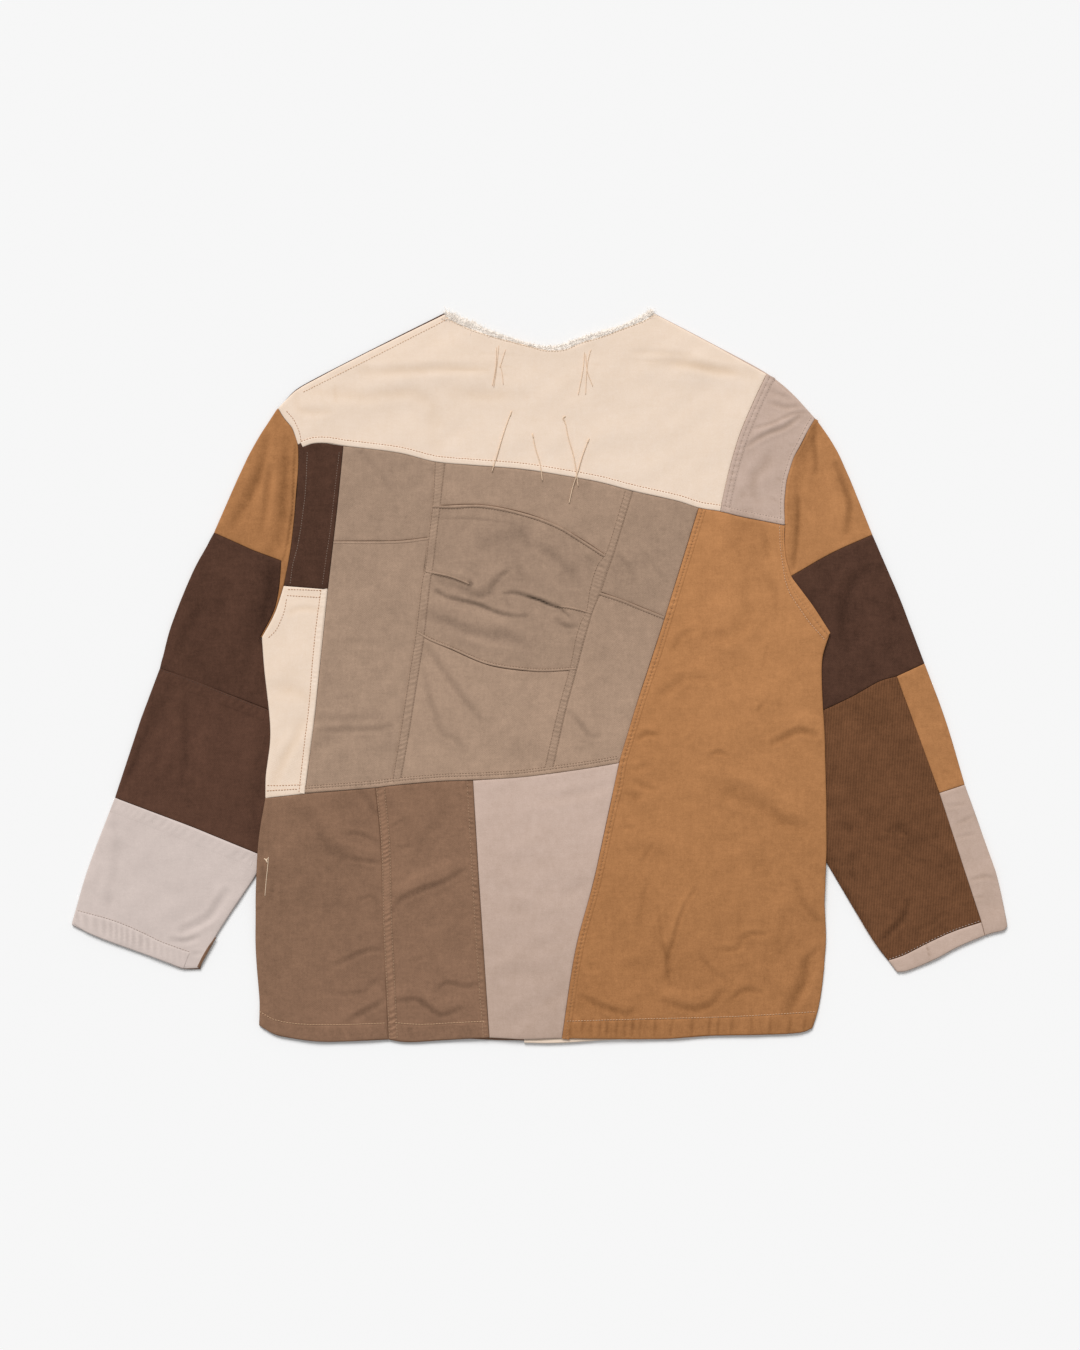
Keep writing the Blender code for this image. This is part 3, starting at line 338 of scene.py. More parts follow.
    (5.0, 1.0, 0.06, [(818, 965), (812, 985), (803, 1005)]),
    (3.4, -0.7, -0.14, [(581, 997), (605, 1007), (628, 1013.3), (634, 1009)]),
    (3.8, -0.75, -0.15, [(664.5, 1001), (679, 1006), (695, 1009), (712, 1003), (721, 991)]),
    (5.0, 0.7, 0.04, [(668, 990), (690, 997), (708, 990)]),
    (3.0, -0.6, -0.14, [(731.8, 1000), (738, 993), (748, 989.6), (760.4, 992)]),
    (4.0, -0.4, -0.07, [(588, 966), (596, 968)]),
    (5.5, -0.4, -0.07, [(624, 967), (640, 964)]),
    (3.0, -0.4, -0.08, [(656, 938), (666, 952), (670, 968), (663, 980)]),
    (1.3, -0.2, -0.1, [(681.6, 866), (683, 866.3)]),
    (6.0, -0.35, -0.05, [(640, 850), (652, 846), (664, 856)]),
]
# The pulled places of the tan hem, each a valley with painted shade, by the photo x of each dark bar
BACK_STROKES += [
    (1.7, -0.35, -0.11, [(x, 1018.5), (x - 1.5, 1035.5)])
    for x in (571.6, 583, 592, 601, 608, 617.5, 625.8, 633.6, 641.3, 656, 672.3, 693, 710, 718.8, 732.6,
              752.3, 770.5, 790.3, 805)]
SLEEVE_STROKES = [
    # left cap
    (5.0, -0.8, -0.18, [(268, 440), (256.6, 480), (245, 503), (232, 526)]),
    (4.0, 0.9, 0.05, [(272, 440), (265, 476), (256.6, 515)]),
    (3.0, -0.5, -0.1, [(270, 467), (267, 496), (261.4, 532)]),
    (4.0, 0.7, 0.05, [(275.8, 465), (273, 500), (270, 530)]),
    (4.0, -0.4, -0.08, [(284.5, 457), (283, 480), (281, 515)]),
    (1.1, -0.4, -0.3, [(295.2, 444.8), (293.7, 476.3), (293, 504), (290.6, 522.6), (286.9, 544.8),
     (283, 561.5)]),
    (5.5, -0.4, -0.15, [(286, 441), (285, 476), (284, 504), (279.4, 533.7), (273, 548.5)]),
    # left, dark
    (5.0, -0.5, -0.06, [(211, 560), (207, 599), (195, 620), (184, 637), (176, 657)]),
    (9.0, -0.6, -0.24, [(272, 562), (271, 590), (266, 612), (261, 635)]),
    (5.0, -0.5, -0.08, [(255, 600), (250, 640), (247, 683)]),
    (7.0, 0.7, 0.05, [(235, 575), (232, 620), (222, 665)]),
    (4.0, -0.6, -0.13, [(186, 683), (186, 700), (185.8, 760), (182, 787)]),
    (7.0, -0.7, -0.14, [(170, 684), (157, 712), (142, 745), (131, 772)]),
    (2.0, -0.4, -0.1, [(152, 715), (141, 745), (130, 774), (123, 790)]),
    (8.0, -0.4, -0.13, [(266, 722), (260, 780), (254, 838)]),
    (6.0, 0.7, 0.08, [(176, 716), (171, 745), (165, 770)]),
    (7.0, 0.6, 0.06, [(204, 720), (203, 765), (200, 795)]),
    # left cuff
    (5.0, -0.5, -0.05, [(116, 829), (117, 852), (113, 883)]),
    (4.5, -0.4, -0.04, [(109.3, 890), (109.3, 911)]),
    (4.0, -0.3, -0.03, [(101, 871), (99, 887)]),
    (3.8, -0.75, -0.09, [(226, 892), (217, 905), (208.8, 917), (182, 930.6)]),
    (6.0, 0.8, 0.03, [(232, 900), (217, 920), (195, 932)]),
    (2.8, -0.6, -0.07, [(172.4, 940), (185.8, 941), (199, 937)]),
    (2.2, -0.4, -0.05, [(193.5, 953.6), (201, 953.6)]),
    # right cap
    (7.0, -0.7, -0.14, [(811, 430), (805, 447), (801, 470)]),
    (3.0, -0.8, -0.19, [(814.4, 424), (813.5, 434), (813.8, 447), (815.5, 462), (815, 474)]),
    (4.5, -0.6, -0.12, [(797, 480), (796, 507), (794, 543), (791, 566)]),
    (2.4, -0.6, -0.17, [(798.2, 500), (797.6, 525), (796, 545), (794, 562), (792.4, 570)]),
    (3.6, -0.85, -0.24, [(836, 466), (842, 482), (849, 503), (847, 533)]),
    (5.0, 0.7, 0.05, [(829, 480), (834, 505), (836, 535)]),
    (3.0, -0.3, -0.05, [(835, 520), (834, 532)]),
    # right, dark
    (6.0, -0.7, -0.16, [(868, 566), (853, 582), (844, 606), (842, 630), (847, 658)]),
    (4.0, 0.7, 0.08, [(843, 570), (836, 585), (829, 599)]),
    (4.0, -0.5, -0.12, [(889.5, 610), (897, 624)]),
    (4.0, -0.4, -0.08, [(856, 628), (856, 643)]),
    (3.0, -0.5, -0.1, [(866.5, 654), (874, 674)]),
    (8.0, 0.6, 0.06, [(866, 585), (872, 620), (880, 650)]),
    # corduroy
    (3.2, -0.85, -0.22, [(881.8, 940), (893, 928), (904, 915), (907.5, 901)]),
    (5.0, 0.8, 0.06, [(893, 938), (905, 925), (914, 908)]),
    (2.6, -0.5, -0.1, [(919.5, 928.4), (932, 923), (942.4, 914.4)]),
    (4.5, -0.4, -0.07, [(857, 854), (845, 864)]),
    (4.5, -0.4, -0.07, [(845, 829), (858, 829)]),
    (4.5, -0.4, -0.06, [(882, 840), (900, 829), (912, 853)]),
    (3.0, -0.3, -0.08, [(855, 706), (858, 711)]),
    (4.0, -0.3, -0.12, [(829, 862), (858, 914), (872, 940)]),
    (9.0, 0.4, 0.06, [(836, 715), (850, 735), (846, 770)]),
    # right strip and band
    (1.6, -0.3, -0.07, [(920, 727.6), (927, 726.6)]),
    (1.6, -0.3, -0.06, [(944.5, 736), (950.5, 738.6)]),
    (1.6, -0.3, -0.07, [(943, 771), (950, 773.2)]),
    (2.0, -0.3, -0.04, [(946.5, 806.2), (964, 804.2)]),
    (2.0, -0.3, -0.05, [(956.2, 823.7), (966, 820), (975.6, 814)]),
    (2.0, -0.3, -0.04, [(956.2, 837.3), (973.7, 834.4)]),
    (2.0, -0.4, -0.07, [(969.8, 880.1), (985.4, 876.6), (995, 879)]),
    (1.6, -0.3, -0.06, [(973.7, 897.6), (983.4, 896.7)]),
    (0.8, -0.3, -0.15, [(925.5, 940.5), (929, 956)]),
]
# Creases of the fronts and of the undersides, with painted shade in their valleys
FRONT_STROKES = [
    (5.0, -0.6, -0.06, [(300, 640), (335, 665), (372, 672)]),
    (4.0, -0.6, -0.06, [(292, 700), (330, 690), (380, 705)]),
    (6.0, -0.5, -0.05, [(300, 860), (340, 850), (400, 868), (450, 860)]),
    (5.0, -0.6, -0.06, [(330, 940), (380, 925), (440, 935)]),
    (6.0, -0.5, -0.05, [(350, 520), (370, 570), (380, 640)]),
    (5.0, -0.5, -0.05, [(420, 460), (440, 540), (436, 620)]),
    (4.0, -0.5, -0.05, [(470, 700), (480, 800), (470, 900)]),
    (5.0, -0.6, -0.06, [(810, 650), (770, 672), (730, 676)]),
    (5.0, -0.5, -0.05, [(800, 730), (750, 722), (690, 740)]),
    (6.0, -0.6, -0.06, [(790, 850), (740, 862), (680, 850)]),
    (5.0, -0.5, -0.05, [(770, 950), (720, 935), (650, 950)]),
    (6.0, -0.5, -0.05, [(740, 500), (720, 560), (716, 640)]),
    (5.0, -0.5, -0.05, [(650, 450), (640, 540), (650, 620)]),
    (4.0, -0.5, -0.05, [(600, 720), (610, 820), (600, 930)]),
]
UNDER_STROKES = [
    (5.0, -0.6, -0.08, [(250, 480), (235, 520), (225, 570)]),
    (5.0, -0.5, -0.08, [(200, 600), (190, 650), (170, 700)]),
    (5.0, -0.6, -0.08, [(230, 620), (220, 680), (222, 720)]),
    (4.0, -0.5, -0.08, [(150, 740), (190, 760), (235, 770)]),
    (5.0, -0.5, -0.08, [(110, 850), (150, 870), (200, 880)]),
    (4.0, -0.5, -0.08, [(230, 860), (210, 890), (180, 920)]),
    (5.0, -0.6, -0.08, [(830, 470), (845, 520), (850, 570)]),
    (5.0, -0.5, -0.08, [(880, 600), (890, 650), (905, 700)]),
    (5.0, -0.6, -0.08, [(850, 640), (860, 690), (855, 740)]),
    (4.0, -0.5, -0.08, [(850, 790), (890, 780), (930, 770)]),
    (5.0, -0.5, -0.08, [(880, 860), (920, 880), (970, 870)]),
    (4.0, -0.5, -0.08, [(870, 880), (890, 910), (920, 930)]),
]


def at(px, py):
    """Millimetres in the row frame of a photo pixel."""
    return (px - ORIGIN[0]) * PIXEL, (ORIGIN[1] - py) * PIXEL


def spline(points, step):
    """Points about one step apart along a smooth curve through the given ones."""
    points = [np.array(p, float) for p in points]
    if len(points) == 2:
        count = max(1, round(np.linalg.norm(points[1] - points[0]) / step))
        return [points[0] + (points[1] - points[0]) * i / count for i in range(count + 1)]
    chain = [2 * points[0] - points[1], *points, 2 * points[-1] - points[-2]]
    curve = [points[0]]
    for before, start, end, after in zip(chain, chain[1:], chain[2:], chain[3:]):
        span = math.sqrt(np.linalg.norm(end - start)) or 1e-3
        lead = math.sqrt(np.linalg.norm(start - before)) or 1e-3
        trail = math.sqrt(np.linalg.norm(after - end)) or 1e-3
        leave = (
            (start - before) * (span / lead) - (end - before) * (span / (lead + span)) + (end - start))
        arrive = (
            (end - start) - (after - start) * (span / (span + trail)) + (after - end) * (span / trail))
        count = max(1, round(np.linalg.norm(end - start) / step))
        for i in range(1, count + 1):
            t = i / count
            curve.append(
                start * (2 * t**3 - 3 * t**2 + 1) + leave * (t**3 - 2 * t**2 + t)
                + end * (3 * t**2 - 2 * t**3) + arrive * (t**3 - t**2))
    return curve


def smooth_step(value):
    """Rise from 0 to 1 with level ends."""
    value = np.clip(value, 0.0, 1.0)
    return value * value * (3.0 - 2.0 * value)


def along_line(xy, line):
    """For each point, its distance to a line, and the length of the line up to there."""
    line = np.array(line)
    runs = np.diff(line, axis=0)
    lengths = np.linalg.norm(runs, axis=1)
    starts = np.concatenate([[0.0], np.cumsum(lengths)])
    best = np.full(len(xy), np.inf)
    place = np.zeros(len(xy))
    for start, run, length, before in zip(line, runs, lengths, starts):
        away = xy - start
        share = np.clip(away @ run / max(length * length, 1e-9), 0.0, 1.0)
        gap = away - share[:, None] * run
        distance = np.hypot(gap[:, 0], gap[:, 1])
        closer = distance < best
        best[closer] = distance[closer]
        place[closer] = before + share[closer] * length
    return best, place


class Relief:
    """Height and tone of one layer: the solids' own height, and the strokes laid on it, with painted
    shade in their valleys and painted highlight on their ridges.

    Rumple is the height of its gentle waves. Along its closed edges the cloth is rolled down to the
    layer under it.
    """

    def __init__(self, nodes, strokes, rumple=0.0, closed=(), under=None):
        self.grid = height_grid(nodes)
        self.rumple = rumple
        self.closed = closed
        self.under = under
        self.strokes = []
        for half_width, height, tone, line in strokes:
            curve = np.array(spline([at(*p) for p in line], STROKE_STEP))
            self.strokes.append((half_width * PIXEL, height, tone * CREASE_SHADE, curve))
        rng = np.random.default_rng(len(nodes))
        turns = rng.uniform(0.0, 2.0 * math.pi, RUMPLE_WAVES)
        rates = 2.0 * math.pi / rng.uniform(*RUMPLE_LENGTHS, RUMPLE_WAVES)
        self.waves = np.stack([np.cos(turns), np.sin(turns)]) * rates
        self.phases = rng.uniform(0.0, 2.0 * math.pi, RUMPLE_WAVES)

    def waviness(self, xy):
        """Height of the gentle waves."""
        if not self.rumple:
            return np.zeros(len(xy))
        return self.rumple * np.cos(xy @ self.waves + self.phases).sum(axis=1) / math.sqrt(RUMPLE_WAVES)

    def rolled(self, xy):
        """How far each outline point is rolled under, from 0 to 1."""
        reach = np.full(len(xy), np.inf)
        for line in self.closed:
            reach = np.minimum(reach, along_line(xy, line)[0])
        return smooth_step((ROLL_REACH - reach) / (0.5 * ROLL_REACH))

    def base(self, xy):
        """The solids' height, smoothed."""
        low, values = self.grid
        place = (xy - low) / GRID
        place = np.clip(place, 0.0, np.array(values.shape[::-1]) - 1.001)
        cell = place.astype(int)
        fx, fy = (place - cell).T
        i, j = cell.T
        return (
            values[j, i] * (1 - fx) * (1 - fy) + values[j, i + 1] * fx * (1 - fy)
            + values[j + 1, i] * (1 - fx) * fy + values[j + 1, i + 1] * fx * fy)

    def detail(self, xy):
        """Height and tone of the strokes alone; the tone is painted shade in their valleys and painted
        highlight on their ridges.
        """
        height = self.waviness(xy)
        tone = np.zeros(len(xy))
        for half_width, top, shade, curve in self.strokes:
            reach = CREASE_REACH * half_width
            low = curve.min(axis=0) - reach
            high = curve.max(axis=0) + reach
            near = np.nonzero(((xy > low) & (xy < high)).all(axis=1))[0]
            if not len(near):
                continue
            distance, place = along_line(xy[near], curve)
            length = np.linalg.norm(np.diff(curve, axis=0), axis=1).sum()
            share = CREASE_TAPER + (1.0 - 2.0 * CREASE_TAPER) * place / length
            taper = np.sqrt(np.sin(np.pi * np.clip(share, 0.0, 1.0)))
            shape = np.exp(-(distance / half_width) ** 2)
            if top < 0.0:
                lips = np.exp(-((distance / half_width - LIP_PLACE) / LIP_WIDTH) ** 2)
                height[near] += taper * (top * shape - LIP_SHARE * top * lips)
            else:
                height[near] += taper * top * shape
            # painted shade along a valley, painted highlight along a ridge
            tone[near] += taper * shade * shape
        return np.maximum(height, DEEPEST), tone

    def height(self, xy):
        """Height of the cloth's upper side."""
        return self.base(xy) + self.detail(xy)[0]


def top_faces(node):
    """The solid's upward faces as corner lists, in millimetres."""
    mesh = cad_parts[node].data
    return [
        [tuple(c / MM for c in mesh.vertices[i].co) for i in face.vertices]
        for face in mesh.polygons if face.normal.z > 0.3]


def height_grid(nodes):
    """The upper side of a layer of solids as a blurred grid of heights."""
    corners = []
    faces = []
    for node in nodes:
        for face in top_faces(node):
            faces.append(list(range(len(corners), len(corners) + len(face))))
            corners += face
    tree = BVHTree.FromPolygons(corners, faces)
    flat = np.array(corners)[:, :2]
    low = flat.min(axis=0) - GRID_MARGIN * GRID
    high = flat.max(axis=0) + GRID_MARGIN * GRID
    columns, rows = (int(n) for n in np.ceil((high - low) / GRID))
    values = np.full((rows, columns), np.nan)
    for j in range(rows):
        for i in range(columns):
            above = Vector((low[0] + i * GRID, low[1] + j * GRID, CLEAR_ABOVE))
            hit = tree.ray_cast(above, Vector((0, 0, -1)))
            if hit[0] is not None:
                values[j, i] = hit[0].z
    while np.isnan(values).any():
        padded = np.pad(values, 1, constant_values=np.nan)
        around = np.stack([
            padded[1 + dj:rows + 1 + dj, 1 + di:columns + 1 + di]
            for dj in (-1, 0, 1) for di in (-1, 0, 1)])
        known = ~np.isnan(around)
        count = known.sum(axis=0)
        total = np.where(known, around, 0.0).sum(axis=0)
        spread = np.isnan(values) & (count > 0)
        values[spread] = total[spread] / count[spread]
    reach = BLUR_REACH * GRID_BLUR
    kernel = np.exp(-0.5 * (np.arange(-reach, reach + 1) / GRID_BLUR) ** 2)
    kernel /= kernel.sum()
    for axis in (0, 1):
        widths = [(reach, reach) if a == axis else (0, 0) for a in (0, 1)]
        values = np.apply_along_axis(
            lambda line: np.convolve(line, kernel, "valid"), axis, np.pad(values, widths, mode="edge"))
    return low, values


def outline_of(node):
    """The edge of a solid's upper side, counter-clockwise, smooth between its corners."""
    following = {}
    seen = set()
    for face in top_faces(node):
        ring = [(round(c[0], 2), round(c[1], 2)) for c in face]
        for a, b in zip(ring, ring[1:] + ring[:1]):
            seen.add((a, b))
    for a, b in seen:
        if (b, a) not in seen:
            following[a] = b
    here = next(iter(sorted(following)))
    loop = [here]
    while following[loop[-1]] != here:
        loop.append(following[loop[-1]])
    points = [np.array(p) for p in loop]
    count = len(points)
    corners = []
    for i, point in enumerate(points):
        a = point - points[i - 1]
        b = points[(i + 1) % count] - point
        turn = math.degrees(abs(math.atan2(a[0] * b[1] - a[1] * b[0], a @ b)))
        if turn > CORNER_ANGLE:
            corners.append(i)
    outline = []
    for start, end in zip(corners, corners[1:] + [corners[0] + count]):
        run = [points[i % count] for i in range(start, end + 1)]
        outline += resampled(spline(run, 1.0), EDGE_STEP)[:-1]
    return np.array(outline)


def resampled(line, step):
    """Points evenly spaced along a line, about one step apart, its ends kept."""
    line = np.array(line)
    lengths = np.concatenate([[0.0], np.cumsum(np.linalg.norm(np.diff(line, axis=0), axis=1))])
    count = max(1, round(lengths[-1] / step))
    places = np.linspace(0.0, lengths[-1], count + 1)
    return list(np.column_stack([np.interp(places, lengths, line[:, axis]) for axis in (0, 1)]))


def outward_normals(outline):
    """Unit vectors that point out of a counter-clockwise outline, one for each of its points."""
    along = np.roll(outline, -1, axis=0) - np.roll(outline, 1, axis=0)
    along /= np.linalg.norm(along, axis=1)[:, None]
    return np.stack([along[:, 1], -along[:, 0]], axis=1)


def inside(xy, outline):
    """Which points lie within an outline."""
    within = np.zeros(len(xy), bool)
    for a, b in zip(outline, np.roll(outline, -1, axis=0)):
        if a[1] == b[1]:
            continue
        crosses = (a[1] > xy[:, 1]) != (b[1] > xy[:, 1])
        within ^= crosses & (xy[:, 0] < a[0] + (b[0] - a[0]) * (xy[:, 1] - a[1]) / (b[1] - a[1]))
    return within


def edge_distance(xy, outline):
    """Distance from each point to the nearest of an outline's points."""
    best = np.full(len(xy), np.inf)
    for start in range(0, len(xy), CHUNK):
        part = xy[start:start + CHUNK]
        gaps = np.linalg.norm(part[:, None, :] - outline[None, :, :], axis=2)
        best[start:start + CHUNK] = gaps.min(axis=1)
    return best


def lattice(outline, pitch, margin):
    """Points of a triangular lattice that lie inside an outline."""
    low = outline.min(axis=0)
    high = outline.max(axis=0)
    row_step = pitch * math.sqrt(3) / 2
    rows = range(math.floor(low[1] / row_step), math.ceil(high[1] / row_step) + 1)
    columns = np.arange(math.floor(low[0] / pitch) - 1, math.ceil(high[0] / pitch) + 2)
    points = np.concatenate([
        np.stack([(columns + 0.5 * (row % 2)) * pitch, np.full(len(columns), row * row_step)], axis=1)
        for row in rows])
    points = points[inside(points, outline)]
    return points[edge_distance(points, outline) > margin]


def filled(border, extra):
    """Triangles over an outline, through extra points inside it."""
    flat = [Vector(p) for p in np.concatenate([border, extra])]
    ring = list(range(len(border)))
    points, _, faces, *_ = delaunay_2d_cdt(flat, [], [ring], INSIDE_ONLY, SAME_POINT)
    return np.array([tuple(p) for p in points]), faces


def add_mesh(name, points, faces, material, tone=None):
    """A smooth-shaded object from points in millimetres."""
    mesh = bpy.data.meshes.new(name)
    mesh.from_pydata((np.asarray(points) * MM).tolist(), [], [list(f) for f in faces])
    mesh.shade_smooth()
    mesh.materials.append(material)
    if tone is not None:
        layer = mesh.attributes.new("tone", "FLOAT", "POINT")
        layer.data.foreach_set("value", np.asarray(tone, dtype=np.float32))
    piece = bpy.data.objects.new(name, mesh)
    bpy.context.scene.collection.objects.link(piece)
    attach(piece, "root")
    return piece


def wash(node, xy):
    """Change of tone of a piece from its neck end to its hem end."""
    near, far = SHADES.get(node, (0.0, 0.0))
    ys = [corner[1] for face in top_faces(node) for corner in face]
    return np.interp(xy[:, 1], [min(ys), max(ys)], [far, near])


def add_shell(node, relief, wall, pitch, floor_side=False):
    """A thin closed shell in place of one cloth solid."""
    outline = outline_of(node)
    outward = outward_normals(outline)
    rolled = relief.rolled(outline)
    if floor_side:
        outline = outline - outward * (TUCKED_IN * rolled)[:, None]
    inner = outline - outward * EDGE_RING
    clear = edge_distance(inner, outline) > RING_CLEAR * EDGE_RING
    inner = inner[clear & inside(inner, outline)]
    middle = lattice(outline, pitch, EDGE_RING + 0.5 * pitch)
    top_flat, top = filled(outline, np.concatenate([inner, middle]))
    low_pitch = FLOOR_PITCH if floor_side else HIDDEN_PITCH
    middle = lattice(outline, low_pitch, 0.5 * low_pitch)
    low_flat, low = filled(outline, np.concatenate([inner, middle]))
    rim = len(outline)
    height, tone = relief.detail(top_flat)
    low_detail = FOLLOWED * relief.detail(low_flat)[0]
    top_z = relief.base(top_flat)
    low_z = relief.base(low_flat) - wall
    side_out = np.zeros(rim)
    if floor_side:
        low_z = np.maximum(low_z + np.abs(low_detail), 0.0)
    else:
        edge = edge_distance(top_flat, outline)
        top_z = top_z + height - EDGE_DIP * np.exp(-(edge / DIP_WIDTH) ** 2)
        low_z += low_detail
        if relief.under:
            floor_z = relief.under.base(outline) - FLOOR_WALL + ROLL_LOW
            low_z[:rim] += rolled * (np.minimum(floor_z, low_z[:rim]) - low_z[:rim])
            side_out = ROLL_OUT * rolled
    low_flat = low_flat.copy()
    low_flat[:rim] += outward * (LOWER_BULGE * side_out)[:, None]
    side = np.column_stack([
        outline + outward * side_out[:, None], 0.5 * (top_z[:rim] + low_z[:rim])])
    points = np.concatenate([
        np.column_stack([top_flat, top_z]), np.column_stack([low_flat, low_z]), side])
    low_first = len(top_flat)
    side_first = low_first + len(low_flat)
    faces = [list(f) for f in top]
    faces += [[low_first + i for i in reversed(f)] for f in low]
    for i in range(rim):
        k = (i + 1) % rim
        faces.append([side_first + i, side_first + k, k, i])
        faces.append([low_first + i, low_first + k, side_first + k, side_first + i])
    # the strokes' painted shade and highlight, and the piece's change of tone from end to end
    tones = np.concatenate([tone + wash(node, top_flat), wash(node, low_flat), wash(node, outline)])
    piece = add_mesh(node + "_cloth", points, faces, MATERIALS[CLOTH_OF[node]], tones)
    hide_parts(node)


def uneven_wave(length, count, pitch, rng):
    """Ripples along a seam, about -1 to 1, of uneven width and strength."""
    knots = max(3, int(length / (RIPPLE_RUN * pitch)))
    places = np.linspace(0.0, 1.0, knots)
    t = np.linspace(0.0, 1.0, count)
    rate = np.interp(t, places, rng.uniform(*RIPPLE_RATES, knots))
    strength = np.interp(t, places, rng.uniform(*RIPPLE_STRENGTHS, knots))
    phase = np.cumsum(rate) * 2.0 * math.pi * (length / count) / pitch
    return np.sin(phase) * strength


def offset_line(line, distance):
    """A line in photo pixels moved sideways, to the right of its direction if positive."""
    curve = np.array(spline(line, STROKE_STEP))
    along = np.gradient(curve, axis=0)
    along /= np.linalg.norm(along, axis=1)[:, None]
    return [tuple(p) for p in curve + np.stack([-along[:, 1], along[:, 0]], axis=1) * distance]


def paired(line_a, line_b):
    """Matching points along two lines in photo pixels, in millimetres."""
    curves = [np.array(spline([at(*p) for p in line], LINE_STEP)) for line in (line_a, line_b)]
    length, other = (np.linalg.norm(np.diff(curve, axis=0), axis=1).sum() for curve in curves)
    count = max(3, round(length / BAND_STEP))
    a = np.array(resampled(curves[0], length / count))
    b = np.array(resampled(curves[1], other / count))
    rows = min(len(a), len(b))
    return a[:rows], b[:rows], length


def strip_faces(rows, step, points):
    """Quads over rows of points, their upper side up."""
    faces = [
        (i * step + j, i * step + j + 1, (i + 1) * step + j + 1, (i + 1) * step + j)
        for i in range(rows - 1) for j in range(step - 1)]
    a, b, c = points[0], points[step - 1], points[(rows - 1) * step]
    if (b[0] - a[0]) * (c[1] - a[1]) - (b[1] - a[1]) * (c[0] - a[0]) < 0:
        faces = [face[::-1] for face in faces]
    return faces


def add_band(name, relief, node, line_a, line_b, lift, grooves, pucker, shade, rims=(0.45, 0.12)):
    """A raised strip of folded cloth between two lines in photo pixels, in a piece's own cloth.

    A number in place of the second line is its distance from the first, as for offset_line. Lift is the
    strip's height over the cloth. Grooves are the shares of its width where stitches pull it in. Pucker
    is the height and the spacing of its ripples, and shade the painted light and shade over the strip's
    crown, on the ripples and in the grooves. Rims are the depths to which its two long edges sink.
    """
    if isinstance(line_b, float):
        line_b = offset_line(line_a, line_b)
    rng = np.random.default_rng(len(name) * 7919 + int(line_a[0][0] * 13))
    a, b, length = paired(line_a, line_b)
    width = np.linalg.norm(a - b, axis=1).mean()
    inset = min(BAND_INSET / width, 0.1)
    shares = np.linspace(0.0, 1.0, max(5, round(width / BAND_STEP)) + 1)
    shares = np.concatenate([[0.0, inset], shares[1:-1], [1.0 - inset, 1.0]])
    for groove in grooves:
        shares = shares[np.abs(shares - groove) * width > GROOVE_CLEAR]
    beside = [groove + side * GROOVE_WIDTH / width for groove in grooves for side in (-1, 0, 1)]
    shares = np.unique(np.clip(np.concatenate([[0.0, 1.0], shares, beside]), 0.0, 1.0))
    rows, step = len(a), len(shares)
    xy = a[:, None, :] * (1.0 - shares)[None, :, None] + b[:, None, :] * shares[None, :, None]
    flat = xy.reshape(-1, 2)
    detail, tone = relief.detail(flat)
    cloth = (relief.base(flat) + detail).reshape(rows, step)
    pulled = np.zeros(step)
    for groove in grooves:
        pulled += np.exp(-((shares - groove) * width / GROOVE_WIDTH) ** 2)
    crown = lift * (1.0 - np.abs(2.0 * shares - 1.0) ** BAND_FLATNESS - GROOVE_DEPTH * pulled)
    slant = np.round(shares * width * SLANT / BAND_STEP).astype(int)
    run = rows + slant[-1]
    wave = uneven_wave(length * run / rows, run, pucker[1], rng)
    wave = wave[np.arange(rows)[:, None] + slant[None, :]] * np.sin(math.pi * shares)[None, :]
    height = cloth + crown[None, :] + pucker[0] * wave
    height[:, 0] = cloth[:, 0] - rims[0]
    height[:, -1] = cloth[:, -1] - rims[1]
    tone = (tone + wash(node, flat)).reshape(rows, step)
    # painted light and shade: over the crown, on the ripples and in the grooves
    tone = tone + (shade[0] * np.sin(math.pi * shares) + shade[2] * pulled)[None, :] + shade[1] * wave
    points = np.concatenate([xy, height[:, :, None]], axis=2).reshape(-1, 3)
    faces = strip_faces(rows, step, points)
    return add_mesh(name, points, faces, MATERIALS[CLOTH_OF[node]], tone.reshape(-1))


def add_shoulder(name, node, outer, inner):
    """The cloth of a front that is rolled up over the shoulder to the back's edge."""
    a, b, _ = paired(outer, inner)
    low = front.base(a) - FLOOR_WALL + ROLL_LOW
    high = back.height(b) - EDGE_DIP
    rows = []
    for turn in np.linspace(0.0, 0.5 * math.pi, SHOULDER_RINGS):
        xy = b + (a - b) * math.cos(turn)
        rows.append(np.column_stack([xy, low + (high - low) * math.sin(turn)]))
    points = np.stack(rows, axis=1).reshape(-1, 3)
    return add_mesh(name, points, strip_faces(len(a), len(rows), points), MATERIALS[CLOTH_OF[node]])


def tube_faces(first, rings, sides):
    """Faces of a closed tube over rings of points, which start at a given index."""
    faces = []
    for start in range(first, first + (rings - 1) * sides, sides):
        for k in range(sides):
            n = (k + 1) % sides
            faces.append((start + k, start + sides + k, start + sides + n, start + n))
    faces.append(tuple(range(first, first + sides)))
    faces.append(tuple(reversed(range(first + (rings - 1) * sides, first + rings * sides))))
    return faces


def ring_points(centre, aside, level, radius, sides):
    """One ring of a tube that lies along the cloth."""
    ring = []
    for k in range(sides):
        angle = 2.0 * math.pi * k / sides
        spot = centre + aside * radius * math.cos(angle)
        ring.append((spot[0], spot[1], level + radius * math.sin(angle)))
    return ring


